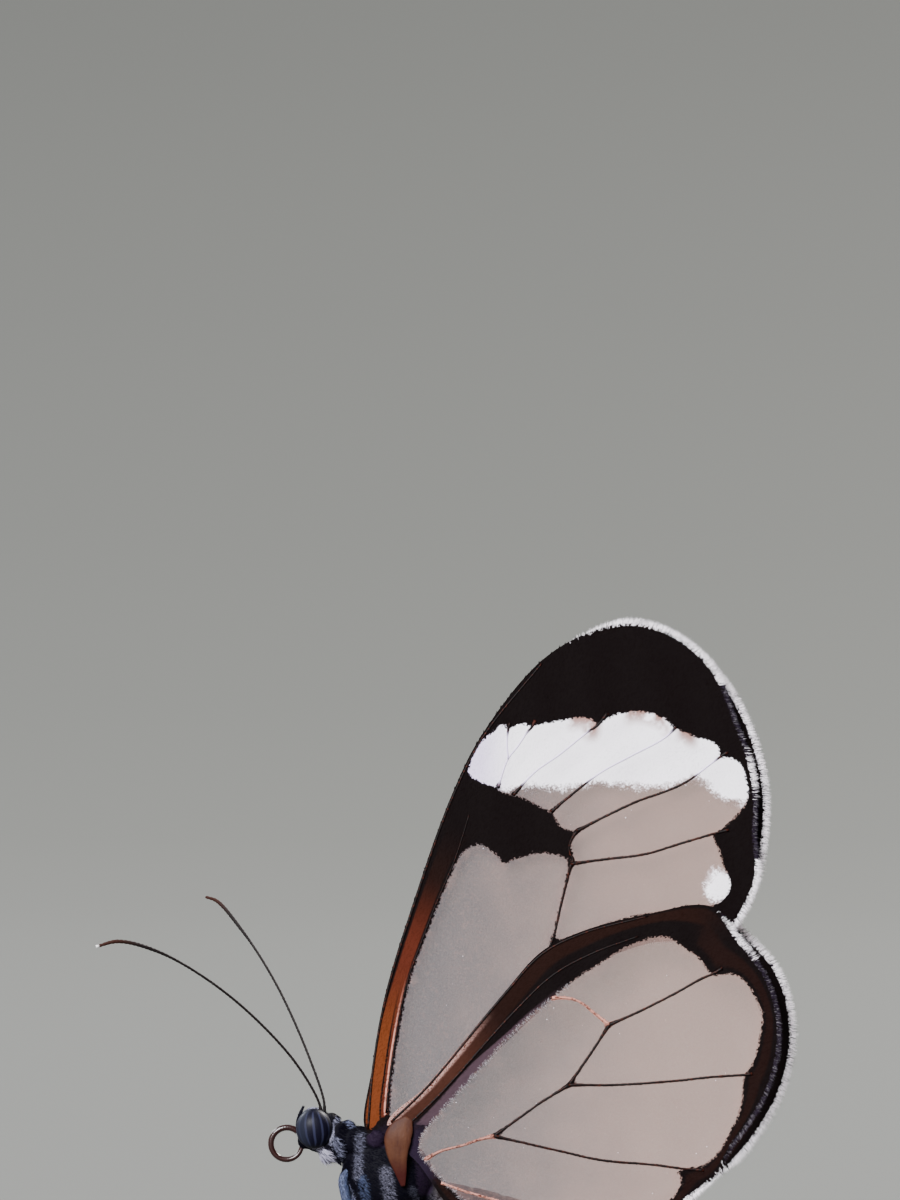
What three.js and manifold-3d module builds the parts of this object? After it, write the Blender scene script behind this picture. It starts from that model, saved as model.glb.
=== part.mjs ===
// Glasswing butterfly at rest, wings closed over its back, at life size.
// Millimetres. +Z is up, +X runs from head to tail and -Y is the insect's left side.
// The origin is the middle of its box, on the floor under its feet.
// Outlines are written from the forewing hinge, as [back, up], and placed by HINGE.

import * as THREE from 'three';
import { mergeVertices } from 'three/addons/utils/BufferGeometryUtils.js';
import Module from 'manifold-3d';

const wasm = await Module();
wasm.setup();

// Driving dimensions
const HINGE = { back: -3.23, up: 9.75 };
const GAP = 0.3;

const WING = {
  thickness: 0.5,
  vein: 0.1,
  foreInner: 0.17,
  hindInner: 1.08,
  hindSplay: THREE.MathUtils.degToRad(1.6),
  hindTop: 11.5
};

const VEIN_WIDTH = { main: 0.42, branch: 0.34 };
// The dark rim is raised too: how wide it is, and the last point of the edge that it follows
const RIM = { fore: { width: 1.0, last: 15 }, hind: { width: 1.35, last: 14 } };

// Wing outlines, from the hinge along the front edge to the tip and back along the rear edge
const FORE_EDGE = [
  [-0.7, 0.15], [-0.45, 3.35], [0.2, 7.0], [1.65, 11.75], [3.45, 16.8], [5.0, 19.95],
  [8.0, 23.7], [10.45, 25.15], [12.55, 25.6], [14.8, 24.9], [16.85, 23.05], [18.4, 20.35],
  [19.2, 17.2], [19.1, 14.6], [18.7, 12.55], [17.6, 10.5], [16.2, 9.75], [13.5, 9.6],
  [10.5, 8.4], [7.5, 5.8], [4.5, 2.9], [1.6, 0.1]
];
const HIND_EDGE = [
  [0.3, 0.5], [2.25, 2.45], [6.1, 7.05], [8.0, 9.15], [9.95, 10.15], [13.35, 11.05],
  [16.45, 11.45], [18.35, 9.9], [19.9, 8.0], [20.55, 5.0], [19.9, 2.0], [18.0, -0.95],
  [15.6, -3.0], [12.95, -4.75], [10.2, -5.95], [7.45, -6.2], [5.1, -5.4],
  [3.6, -3.9], [2.0, -1.6]
];

// Veins, each a route over the wing
const FORE_VEINS = [
  { width: VEIN_WIDTH.main, route: [[0.2, 1.2], [2.2, 3.7], [5.4, 6.9], [8.4, 9.35], [9.5, 13.55]] },
  { width: VEIN_WIDTH.main, route: [[1.0, 2.4], [1.6, 7.8], [3.3, 13.3], [5.6, 14.35], [9.5, 13.55]] },
  { width: VEIN_WIDTH.main, route: [[9.5, 13.55], [9.4, 14.4], [9.8, 15.2]] },
  { width: VEIN_WIDTH.branch, route: [[9.5, 13.55], [13.25, 14.05], [16.6, 15.05], [18.5, 15.6]] },
  { width: VEIN_WIDTH.branch, route: [[9.8, 15.2], [12.85, 16.7], [16.95, 18.9], [18.6, 19.4]] },
  { width: VEIN_WIDTH.branch, route: [[9.8, 15.2], [8.45, 16.15], [10.95, 18.1], [14.7, 20.35], [15.6, 23.6]] },
  { width: VEIN_WIDTH.branch, route: [[8.45, 16.15], [6.6, 17.0], [8.9, 19.0], [10.85, 20.5], [12.0, 24.9]] },
  { width: VEIN_WIDTH.branch, route: [[6.6, 17.0], [4.3, 17.8], [6.6, 19.6], [7.9, 22.9]] }
];
const HIND_VEINS = [
  { width: VEIN_WIDTH.main, route: [[2.4, 1.9], [6.85, 5.9], [8.55, 6.85], [11.45, 5.5]] },
  { width: VEIN_WIDTH.branch, route: [[11.45, 5.5], [12.75, 6.1], [14.65, 7.05], [16.6, 8.1], [18.9, 8.9]] },
  { width: VEIN_WIDTH.main, route: [[11.45, 5.5], [10.7, 4.4], [9.4, 2.5], [7.6, 1.35], [5.65, -0.05]] },
  { width: VEIN_WIDTH.branch, route: [[9.4, 2.5], [11.75, 2.5], [16.55, 2.9], [20.1, 3.2]] },
  { width: VEIN_WIDTH.branch, route: [[5.65, -0.05], [7.6, -0.5], [10.95, -1.25], [13.7, -1.5], [17.2, -1.6]] },
  { width: VEIN_WIDTH.main, route: [[1.9, -0.9], [3.0, -0.8], [4.85, -0.25], [5.65, -0.05]] },
  { width: VEIN_WIDTH.branch, route: [[2.0, -1.9], [5.7, -3.25], [9.0, -4.2], [12.5, -4.7]] }
];

const BODY_TILT = THREE.MathUtils.degToRad(22);
const THORAX = { at: [0.35, -1.95], half: [2.45, 1.7, 2.1] };
const COLLAR = { at: [-1.95, -0.45], half: [0.75, 0.95, 1.15] };
const HEAD = { at: [-3.2, 0.1], half: [0.95, 1.0, 1.05] };
const EYE = { at: [-3.35, 0.3], half: [0.9, 0.75, 0.95], out: 0.5, inner: 0.55 };
const PALP = { thick: 0.56, tip: 0.14, out: 0.32, route: [[-3.7, -0.35], [-4.15, 0.3], [-4.2, 1.4]] };

const TONGUE = { at: [-4.7, -0.43], radius: 0.76, thick: 0.5, from: 70, to: 332 };

const ABDOMEN = {
  rings: 7,
  crease: 0.05,
  length: 11.6,
  start: [2.75, -2.95],
  droop: 0.5,
  girth: [[0, 0.72], [0.16, 0.88], [0.4, 0.98], [0.68, 0.92], [0.9, 0.62], [1, 0.3]]
};

const FEELER = { thick: 0.5, club: 0.56, tip: 0.2 };
const FEELER_ROUTES = {
  left: [
    [-3.0, -0.42, 1.55], [-4.25, -0.8, 3.65], [-6.55, -1.7, 6.2], [-8.9, -2.6, 8.1],
    [-11.1, -3.4, 9.35], [-12.95, -3.95, 9.85], [-14.06, -4.2, 9.6]
  ],
  right: [
    [-2.85, 0.42, 1.6], [-3.6, 1.1, 3.8], [-4.95, 2.6, 6.75], [-6.05, 4.0, 8.6],
    [-7.1, 5.1, 10.05], [-8.35, 6.1, 11.45], [-8.95, 6.5, 11.66]
  ]
};

// Legs: joints from the hip outwards, as [back, out, up] from the hinge; the floor is at -HINGE.up
const LEG = { femur: 0.6, tibia: 0.52, tarsus: 0.5, tip: 0.26 };
const FOOT_UP = { heel: 0.17 - HINGE.up, toe: 0.08 - HINGE.up };
const LEGS = {
  mid: [[0.0, 1.05, -3.75], [-1.7, 3.7, -4.3], [-2.9, 5.5, -8.95], [-4.9, 7.2, FOOT_UP.toe]],
  hind: [[1.2, 1.0, -3.95], [3.7, 4.0, -4.5], [7.6, 5.6, -8.95], [11.0, 6.9, FOOT_UP.toe]]
};
const FORE_LEG = [[-2.05, 0.75, -1.75], [-1.5, 0.95, -4.15], [-2.35, 0.85, -5.6], [-3.0, 0.7, -6.1]];

const SIDES = { left: -1, right: 1 };

// Finishes
const FINISH = {
  wing: new THREE.MeshStandardMaterial({ color: 0xb9a8a2, roughness: 0.45, metalness: 0 }),
  body: new THREE.MeshStandardMaterial({ color: 0x2b2630, roughness: 0.85, metalness: 0 }),
  eye: new THREE.MeshStandardMaterial({ color: 0x1b1a2c, roughness: 0.2, metalness: 0 }),
  horn: new THREE.MeshStandardMaterial({ color: 0x1a1412, roughness: 0.5, metalness: 0 })
};

// Solids

function solidOf(geometry) {
  const bare = geometry.clone();
  bare.deleteAttribute('normal');
  bare.deleteAttribute('uv');
  const merged = mergeVertices(bare, 1e-5);
  const index = merged.index.array;
  const kept = [];
  for (let i = 0; i < index.length; i += 3) {
    const [a, b, c] = index.slice(i, i + 3);
    if (a !== b && b !== c && c !== a) {
      kept.push(a, b, c);
    }
  }
  const position = merged.attributes.position.array;
  const solid = makeSolid(position, kept);
  return solid.volume() > 0 ? solid : makeSolid(position, kept.reverse());
}

function makeSolid(position, triangles) {
  return new wasm.Manifold(new wasm.Mesh({
    numProp: 3,
    vertProperties: new Float32Array(position),
    triVerts: new Uint32Array(triangles)
  }));
}

function join(solids) {
  return solids.reduce((whole, piece) => whole.add(piece));
}

function largest(solid) {
  const pieces = solid.decompose();
  return pieces.reduce((best, piece) => (piece.volume() > best.volume() ? piece : best));
}

function geometryOf(solid) {
  const mesh = largest(solid).getMesh();
  const geometry = new THREE.BufferGeometry();
  const points = new Float32Array(mesh.numVert * 3);
  for (let i = 0; i < mesh.numVert; i += 1) {
    for (let axis = 0; axis < 3; axis += 1) {
      points[3 * i + axis] = mesh.vertProperties[mesh.numProp * i + axis];
    }
  }
  geometry.setAttribute('position', new THREE.BufferAttribute(points, 3));
  geometry.setIndex(new THREE.BufferAttribute(new Uint32Array(mesh.triVerts), 1));
  geometry.computeVertexNormals();
  return geometry;
}

function ellipsoid(half, grow = 0, sides = 20, rows = 12) {
  const geometry = new THREE.SphereGeometry(1, sides, rows);
  geometry.rotateX(Math.PI / 2);
  geometry.scale(half[0] + grow, half[1] + grow, half[2] + grow);
  return geometry;
}

function box(low, high) {
  const size = high.map((value, axis) => value - low[axis]);
  const geometry = new THREE.BoxGeometry(...size);
  geometry.translate(...high.map((value, axis) => (value + low[axis]) / 2));
  return solidOf(geometry);
}

function smooth(points, steps) {
  const curve = new THREE.CatmullRomCurve3(points.map((point) => new THREE.Vector3(...point)));
  return { curve, steps };
}

// A round bar whose thickness follows girth(0 to 1), bent along a curve
function bentBar({ curve, steps }, girth, sides, grow = 0) {
  const profile = [new THREE.Vector2(0, 0)];
  for (let i = 0; i <= steps; i += 1) {
    profile.push(new THREE.Vector2(girth(i / steps) + grow, i / steps));
  }
  profile.push(new THREE.Vector2(0, 1));
  const geometry = new THREE.LatheGeometry(profile, sides);
  const frames = curve.computeFrenetFrames(steps);
  const position = geometry.attributes.position;
  const start = curve.getPointAt(0).addScaledVector(frames.tangents[0], -grow);
  const end = curve.getPointAt(1).addScaledVector(frames.tangents[steps], grow);
  for (let i = 0; i < position.count; i += 1) {
    const along = Math.round(position.getY(i) * steps);
    let centre = curve.getPointAt(along / steps);
    if (along === 0) {
      centre = start.clone();
    } else if (along === steps) {
      centre = end.clone();
    }
    centre.addScaledVector(frames.normals[along], position.getX(i));
    centre.addScaledVector(frames.binormals[along], position.getZ(i));
    position.setXYZ(i, centre.x, centre.y, centre.z);
  }
  return solidOf(geometry);
}

function taper(from, to) {
  return (t) => THREE.MathUtils.lerp(from, to, t) / 2;
}

// Wings: a flat plate between y = 0 and y = thickness, with rim and veins raised on its outer face

function plate(points, low, high) {
  const shape = new THREE.Shape(points.map(([back, up]) => new THREE.Vector2(back, up)));
  const geometry = new THREE.ExtrudeGeometry(shape, { depth: high - low, bevelEnabled: false, curveSegments: 1 });
  geometry.translate(0, 0, low);
  geometry.rotateX(Math.PI / 2);
  geometry.scale(1, -1, 1);
  return solidOf(geometry);
}

function closedOutline(points, steps) {
  const curve = new THREE.CatmullRomCurve3(points.map(([back, up]) => new THREE.Vector3(back, up, 0)), true);
  return curve.getSpacedPoints(steps).slice(0, steps).map((point) => [point.x, point.y]);
}

function veinStrip({ route, width }) {
  const curve = new THREE.CatmullRomCurve3(route.map(([back, up]) => new THREE.Vector3(back, up, 0)));
  const steps = 4 * (route.length - 1);
  const near = [];
  const far = [];
  for (let i = 0; i <= steps; i += 1) {
    const point = curve.getPointAt(i / steps);
    const along = curve.getTangentAt(i / steps);
    near.push([point.x - along.y * width / 2, point.y + along.x * width / 2]);
    far.unshift([point.x + along.y * width / 2, point.y - along.x * width / 2]);
  }
  return [...near, ...far];
}

function wingSolid(edge, veins, rim, steps) {
  const outline = closedOutline(edge, steps);
  const raised = WING.thickness + WING.vein;
  const sheet = plate(outline, 0, WING.thickness);
  const whole = plate(outline, 0, raised);
  const border = { width: 2 * rim.width, route: edge.slice(0, rim.last + 1) };
  const ridges = join([border, ...veins].map((vein) => plate(veinStrip(vein), WING.thickness / 2, raised)));
  return sheet.add(ridges.intersect(whole));
}

// Body

function bodySolid({ at, half }, grow = 0, sides = 20, rows = 12) {
  const geometry = ellipsoid(half, grow, sides, rows);
  geometry.rotateY(BODY_TILT);
  geometry.translate(at[0], 0, at[1]);
  return solidOf(geometry);
}

function eyeSolid(side, grow = 0) {
  const geometry = ellipsoid(EYE.half, grow, 20, 12);
  geometry.translate(EYE.at[0], side * EYE.out, EYE.at[1]);
  const inner = (EYE.inner - grow) * side;
  const outer = 4 * side;
  const keep = box([-9, Math.min(inner, outer), -9], [9, Math.max(inner, outer), 9]);
  return solidOf(geometry).intersect(keep);
}

function palpSolid(side, grow = 0) {
  const route = PALP.route.map(([back, up]) => [back, side * PALP.out, up]);
  return bentBar(smooth(route, 6), taper(PALP.thick, PALP.tip), 8, grow);
}

function faceSolid(grow = 0) {
  return join([bodySolid(HEAD, grow), palpSolid(-1, grow), palpSolid(1, grow)]);
}

function tongueSolid() {
  const points = [];
  for (let turn = TONGUE.from; turn <= TONGUE.to; turn += 20) {
    const angle = THREE.MathUtils.degToRad(turn);
    points.push([
      TONGUE.at[0] + TONGUE.radius * Math.cos(angle),
      0,
      TONGUE.at[1] + TONGUE.radius * Math.sin(angle)
    ]);
  }
  return bentBar(smooth(points, 20), taper(TONGUE.thick, TONGUE.thick * 0.8), 8);
}

function abdomenSolid(grow = 0) {
  const down = new THREE.Vector3(Math.cos(BODY_TILT), 0, -Math.sin(BODY_TILT));
  const start = new THREE.Vector3(ABDOMEN.start[0], 0, ABDOMEN.start[1]);
  const end = start.clone().addScaledVector(down, ABDOMEN.length);
  const middle = start.clone().lerp(end, 0.5);
  middle.z += ABDOMEN.droop;
  const girth = new THREE.SplineCurve(ABDOMEN.girth.map(([t, r]) => new THREE.Vector2(t, r)));
  const steps = ABDOMEN.rings * 3;
  const waist = (t) => (Math.round(t * steps) % 3 === 0 ? ABDOMEN.crease : 0);
  const curve = new THREE.CatmullRomCurve3([start, middle, end]);
  return bentBar({ curve, steps }, (t) => girth.getPoint(t).y - waist(t), 14, grow);
}

function feelerSolid(side) {
  const thickness = (t) => {
    if (t > 0.93) {
      return THREE.MathUtils.lerp(FEELER.club, FEELER.tip, (t - 0.93) / 0.07) / 2;
    }
    return (t > 0.7 ? FEELER.club : FEELER.thick) / 2;
  };
  return bentBar(smooth(FEELER_ROUTES[side], 26), thickness, 8);
}

// Legs

function barBetween(from, to, thickFrom, thickTo, grow = 0) {
  const curve = new THREE.LineCurve3(new THREE.Vector3(...from), new THREE.Vector3(...to));
  return bentBar({ curve, steps: 2 }, taper(thickFrom, thickTo), 8, grow);
}

function mirrored(point, side) {
  return [point[0], side * point[1], point[2]];
}

function legSolids(route, side) {
  const [hip, knee, ankle, toe] = route.map((point) => mirrored(point, side));
  const femur = (grow = 0) => barBetween(hip, knee, LEG.femur, LEG.tibia, grow);
  const tibia = (grow = 0) => barBetween(knee, ankle, LEG.tibia, LEG.tarsus, grow);
  const heel = [ankle[0], ankle[1], FOOT_UP.heel];
  const tarsus = () => join([
    barBetween(ankle, heel, LEG.tarsus, LEG.tarsus),
    barBetween(heel, toe, LEG.tarsus, LEG.tip)
  ]);
  const floor = box([-40, -40, -HINGE.up - 5], [40, 40, -HINGE.up]);
  return {
    femur: femur().subtract(bodySolid(THORAX, GAP)),
    tibia: tibia().subtract(femur(GAP)),
    tarsus: tarsus().subtract(tibia(GAP)).subtract(floor)
  };
}

function foreLegSolid(side) {
  const route = FORE_LEG.map((point) => mirrored(point, side));
  const leg = bentBar(smooth(route, 12), taper(LEG.femur, LEG.tip), 8);
  return leg.subtract(bodySolid(THORAX, GAP)).subtract(bodySolid(COLLAR, GAP));
}

// The butterfly

const butterfly = new THREE.Group();
butterfly.position.set(HINGE.back, 0, HINGE.up);

function addNode(name, solid, material) {
  const mesh = new THREE.Mesh(geometryOf(solid), material.clone());
  mesh.name = name;
  butterfly.add(mesh);
  return mesh;
}

function placeWing(solid, side, inner, splay) {
  const top = new THREE.Matrix4().makeTranslation(0, 0, WING.hindTop);
  const turn = new THREE.Matrix4().makeRotationX(side * splay);
  const back = new THREE.Matrix4().makeTranslation(0, side * inner, -WING.hindTop);
  const place = top.multiply(turn).multiply(back);
  const mirror = new THREE.Matrix4().makeScale(1, side, 1);
  return solid.transform(place.multiply(mirror).toArray());
}

function addWings(name, side) {
  const root = bodySolid(THORAX, GAP);
  const fore = wingSolid(FORE_EDGE, FORE_VEINS, RIM.fore, 60);
  const hind = wingSolid(HIND_EDGE, HIND_VEINS, RIM.hind, 56);
  const belly = abdomenSolid(GAP);
  addNode(`forewing_${name}`, placeWing(fore, side, WING.foreInner, 0).subtract(root), FINISH.wing);
  const hindPlaced = placeWing(hind, side, WING.hindInner, WING.hindSplay);
  addNode(`hindwing_${name}`, hindPlaced.subtract(root).subtract(belly), FINISH.wing);
}

const thorax = bodySolid(THORAX);
addNode('thorax', thorax, FINISH.body);
addNode('abdomen', abdomenSolid().subtract(bodySolid(THORAX, GAP)), FINISH.body);
addNode('collar', bodySolid(COLLAR).subtract(bodySolid(THORAX, GAP)), FINISH.body);
const head = faceSolid().subtract(bodySolid(COLLAR, GAP)).subtract(eyeSolid(-1, GAP)).subtract(eyeSolid(1, GAP));
addNode('head', head, FINISH.body);
addNode('proboscis', tongueSolid().subtract(faceSolid(GAP)), FINISH.horn);

for (const [name, side] of Object.entries(SIDES)) {
  addNode(`eye_${name}`, eyeSolid(side).subtract(bodySolid(COLLAR, GAP)), FINISH.eye);
  const feeler = feelerSolid(name).subtract(bodySolid(HEAD, GAP)).subtract(eyeSolid(side, GAP));
  addNode(`antenna_${name}`, feeler, FINISH.horn);
  addWings(name, side);
  addNode(`fore_leg_${name}`, foreLegSolid(side), FINISH.body);
  for (const [pair, route] of Object.entries(LEGS)) {
    for (const [piece, solid] of Object.entries(legSolids(route, side))) {
      addNode(`${pair}_${piece}_${name}`, solid, FINISH.horn);
    }
  }
}

export default butterfly;
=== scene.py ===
"""A glasswing butterfly at rest: clear wings with dark scaled rims and a white band, closed over a
dark striped body. Lengths are in millimetres from the forewing hinge, as back (to the tail), out
(away from the middle) and up, until a piece is made."""

import math

import bpy
import numpy as np
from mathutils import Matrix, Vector, geometry


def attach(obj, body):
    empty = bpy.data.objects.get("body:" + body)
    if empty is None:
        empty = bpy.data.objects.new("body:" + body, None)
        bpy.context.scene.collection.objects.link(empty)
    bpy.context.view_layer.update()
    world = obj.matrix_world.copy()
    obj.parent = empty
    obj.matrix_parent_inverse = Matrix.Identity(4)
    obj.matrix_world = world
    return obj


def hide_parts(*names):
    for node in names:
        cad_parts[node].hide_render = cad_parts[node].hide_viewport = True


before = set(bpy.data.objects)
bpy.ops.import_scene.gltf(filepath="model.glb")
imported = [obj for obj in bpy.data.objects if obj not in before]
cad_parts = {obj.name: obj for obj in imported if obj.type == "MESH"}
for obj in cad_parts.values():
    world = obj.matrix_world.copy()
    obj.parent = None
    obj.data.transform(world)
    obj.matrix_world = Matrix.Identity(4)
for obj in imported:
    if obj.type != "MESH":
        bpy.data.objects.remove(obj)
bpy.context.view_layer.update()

MM = 0.001
HINGE = np.array([-3.23, 0.0, 9.75])
SIDES = {"left": -1, "right": 1}
PHOTO = {"width": 900, "height": 1200, "mm_per_pixel": 0.05, "hinge": (381, 1135)}
LENS = {"length": 240.0, "sensor": 36.0}
CAMERA_AWAY = PHOTO["height"] * PHOTO["mm_per_pixel"] * LENS["length"] / LENS["sensor"]
AIM = np.array([
    (PHOTO["width"] / 2 - PHOTO["hinge"][0]) * PHOTO["mm_per_pixel"],
    (PHOTO["hinge"][1] - PHOTO["height"] / 2) * PHOTO["mm_per_pixel"],
])

# Wings

FORE_EDGE = [
    (-0.7, 0.15), (-0.45, 3.35), (0.2, 7.0), (1.65, 11.75), (3.45, 16.8), (5.0, 19.95),
    (8.0, 23.7), (10.45, 25.15), (12.55, 25.6), (14.8, 24.9), (16.85, 23.05), (18.4, 20.35),
    (19.2, 17.2), (19.1, 14.6), (18.7, 12.55), (17.6, 10.5), (16.2, 9.75), (13.5, 9.6),
    (10.5, 8.4), (7.5, 5.8), (4.5, 2.9), (1.6, 0.1),
]
HIND_EDGE = [
    (0.3, 0.5), (2.25, 2.45), (6.1, 7.05), (8.0, 9.15), (9.95, 10.15), (13.35, 11.05),
    (16.45, 11.45), (18.35, 9.9), (19.9, 8.0), (20.55, 5.0), (19.9, 2.0), (18.0, -0.95),
    (15.6, -3.0), (12.95, -4.75), (10.2, -5.95), (7.45, -6.2), (5.1, -5.4),
    (3.6, -3.9), (2.0, -1.6),
]
# The clear windows in the dark scales
DISCAL_CELL = [
    (0.4, 1.05), (0.55, 2.95), (1.05, 6.1), (1.5, 7.95), (2.15, 9.7), (2.95, 11.75), (3.8, 13.75),
    (4.25, 14.3), (4.9, 14.6), (5.45, 14.3), (5.85, 13.95), (6.1, 13.5), (6.5, 13.75), (7.1, 13.95),
    (7.7, 14.1), (8.3, 14.1), (8.9, 14.0), (9.3, 13.85), (9.4, 13.45), (8.95, 11.5), (8.4, 9.35),
    (8.0, 8.9), (6.1, 6.5), (4.2, 4.25), (2.25, 1.95), (0.7, 0.5),
]
OUTER_CELLS = [
    (4.35, 18.05), (4.45, 18.6), (4.65, 19.1), (5.0, 19.7), (5.5, 20.0), (5.85, 20.45), (6.1, 20.5),
    (6.35, 20.25), (6.7, 20.5), (7.4, 20.55), (7.5, 20.25), (7.8, 20.55), (8.4, 20.6), (9.5, 20.8),
    (9.85, 20.9), (10.35, 20.85), (10.9, 20.55), (10.4, 20.15), (11.4, 20.9), (12.1, 21.1),
    (12.85, 21.2), (13.5, 21.1), (14.25, 20.8), (14.6, 20.35), (15.35, 20.1), (15.7, 19.85),
    (16.2, 19.8), (16.65, 19.65), (16.9, 19.35), (16.9, 18.85), (17.35, 18.9), (17.8, 18.7),
    (18.1, 18.4), (18.2, 17.95), (18.35, 17.3), (18.3, 16.6), (17.85, 16.05), (17.4, 15.6),
    (16.9, 15.2), (16.5, 14.95), (16.85, 14.45), (17.0, 13.9), (17.15, 13.4), (17.45, 12.85),
    (17.45, 12.25), (17.2, 11.85), (16.75, 11.55), (16.3, 11.4), (15.55, 11.25), (14.0, 11.15),
    (12.5, 10.95), (10.95, 10.45), (8.5, 9.4), (9.0, 11.5), (9.55, 13.55), (9.6, 13.9), (9.5, 14.3),
    (9.55, 14.75), (9.8, 15.15), (9.25, 15.25), (8.9, 15.45), (8.7, 15.85), (8.5, 16.15),
    (8.15, 16.3), (7.7, 16.55), (7.2, 16.8), (6.65, 17.0), (6.15, 17.1), (5.75, 17.4),
    (4.85, 17.7),
]
HIND_CELLS = [
    (1.6, -0.4), (3.25, 1.5), (5.15, 3.6), (6.85, 5.5), (8.55, 6.85), (9.95, 8.0), (10.8, 8.45),
    (11.95, 9.25), (12.95, 9.7), (13.9, 9.95), (14.45, 9.85), (15.2, 9.35), (16.0, 8.8),
    (16.4, 8.1), (16.75, 7.95), (17.3, 8.1), (17.9, 7.95), (18.35, 7.55), (18.75, 6.85),
    (19.1, 6.0), (19.05, 5.55), (18.9, 4.6), (18.65, 3.6), (18.35, 3.2), (18.1, 2.95),
    (18.1, 1.9), (17.9, 1.05), (17.6, 0.45), (17.3, -0.2), (16.85, -0.95), (16.25, -1.5),
    (15.45, -1.65), (14.7, -1.85), (15.05, -2.1), (14.95, -2.6), (14.65, -3.1), (13.7, -3.85),
    (12.2, -4.5), (10.2, -5.05), (7.95, -5.2), (5.9, -4.6), (4.3, -3.5), (2.5, -1.75),
]
# Where white scales lie: in a band that fades at its lower edge, and in a spot at the end of a cell
WHITE_BAND = [
    (3.6, 17.0), (4.85, 17.1), (5.95, 17.2), (7.45, 17.4), (8.95, 17.35), (10.2, 17.45),
    (10.95, 17.65), (12.2, 17.5), (13.45, 17.35), (14.45, 17.4), (15.25, 17.75), (15.8, 17.85),
    (16.25, 17.55), (16.65, 17.1), (17.3, 16.75), (18.6, 16.5), (19.0, 19.0), (17.0, 21.5),
    (12.0, 22.5), (5.0, 22.0), (3.0, 19.0),
]
WHITE_SPOT = {"at": (16.95, 12.4), "half": (0.72, 0.82)}
# Where the white scales thin out under the dark tip, as stretches of the model's own length
THIN_PATCHES = [(6.2, 7.7), (9.0, 11.1), (11.6, 12.5)]

VEINS = {
    "fore": {
        "cubitus": [(9.5, 13.55), (9.0, 11.5), (8.4, 9.35), (6.1, 6.3), (3.2, 3.1), (0.9, 0.75)],
        "media_root": [(9.8, 15.2), (9.5, 14.75), (9.4, 14.2), (9.6, 13.75), (9.5, 13.55)],
        "media_3": [
            (9.5, 13.55), (10.95, 13.75), (13.25, 14.05), (14.75, 14.5), (16.6, 15.05), (18.4, 15.5),
        ],
        "media_2": [
            (9.8, 15.2), (10.95, 15.8), (12.85, 16.7), (14.15, 17.15), (15.25, 17.65), (16.95, 18.9),
            (18.6, 20.0),
        ],
        "media_1": [
            (8.5, 16.15), (9.2, 16.75), (10.95, 18.1), (12.5, 18.95), (14.1, 19.8), (14.7, 20.35),
            (15.9, 21.9),
        ],
        "radius_5": [(6.6, 17.0), (7.7, 18.15), (8.9, 19.0), (10.4, 20.2), (10.85, 20.5), (12.5, 23.0)],
        "radius_4": [(5.85, 17.4), (6.35, 18.8), (6.85, 19.45), (7.35, 20.2), (7.5, 20.35), (8.6, 22.6)],
        "radius_3": [(6.35, 18.8), (6.3, 19.6), (6.35, 20.25), (6.8, 21.8)],
    },
    "hind": {
        "discal": [(8.55, 6.85), (9.3, 6.85), (9.95, 6.65), (10.65, 6.1), (11.4, 5.5)],
        "media_1": [(11.4, 5.5), (12.75, 6.1), (14.65, 7.05), (15.9, 7.75), (16.75, 8.15), (18.2, 9.1)],
        "cross": [(11.4, 5.5), (10.7, 4.4), (9.4, 2.5)],
        "media_2": [(9.4, 2.5), (11.75, 2.5), (14.65, 2.7), (16.55, 2.9), (18.1, 3.0), (19.9, 3.2)],
        "cross_low": [(9.4, 2.5), (7.95, 1.6), (7.6, 1.35), (5.65, -0.05)],
        "media_3": [
            (5.65, -0.05), (7.6, -0.5), (9.15, -0.85), (10.95, -1.25), (13.7, -1.5), (15.2, -1.7),
            (16.4, -1.8), (17.9, -2.0),
        ],
        "cubitus": [(5.65, -0.05), (4.85, -0.25), (4.15, -0.5), (3.0, -0.8), (2.25, -1.2)],
        "anal": [(2.0, -2.1), (3.0, -2.4), (4.15, -2.8), (5.7, -3.25), (9.0, -4.2), (11.6, -5.0)],
    },
}
VEIN_HALF = {"plain": 0.06, "end": 0.075, "fade": 0.4, "white": 0.1}
PINK_VEINS = {"discal": 1.0, "anal": 1.0, "cubitus": 0.8}
# The two stout veins along each wing's front, the outer one first
FRONT_VEINS = {
    "fore": [
        [(-0.66, 0.3), (-0.4, 3.35), (0.27, 7.0), (1.72, 11.72), (3.52, 16.75), (5.1, 19.9), (8.05, 23.6)],
        [
            (0.25, 1.1), (0.45, 2.95), (0.95, 6.1), (1.42, 8.0), (2.05, 9.75), (2.85, 11.8),
            (3.7, 13.8), (4.4, 16.0),
        ],
    ],
    "hind": [
        [(0.5, 0.65), (2.3, 2.4), (6.15, 7.0), (8.05, 9.05), (10.0, 10.05), (13.35, 10.95)],
        [(1.3, 0.45), (3.0, 2.1), (6.55, 6.05), (8.6, 8.0), (10.6, 9.1), (12.9, 9.95)],
    ],
}
FRONT_HALF = (0.06, 0.05)

# How far out each wing's sheet stands: the forewing bows out to its root, the hindwing splays downwards
SHEET = {
    "fore_out": 0.42, "fore_bow": 0.62, "bow_reach": 6.5,
    "hind_out": 1.33, "hind_top": 11.5, "splay": 1.6,
    "sag": 0.07, "ripple": 0.035,
}
GRID = {"inner": 0.2, "stray": 0.04, "rim": 0.1, "vein": 0.14, "clear_of_rim": 0.11}
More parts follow.
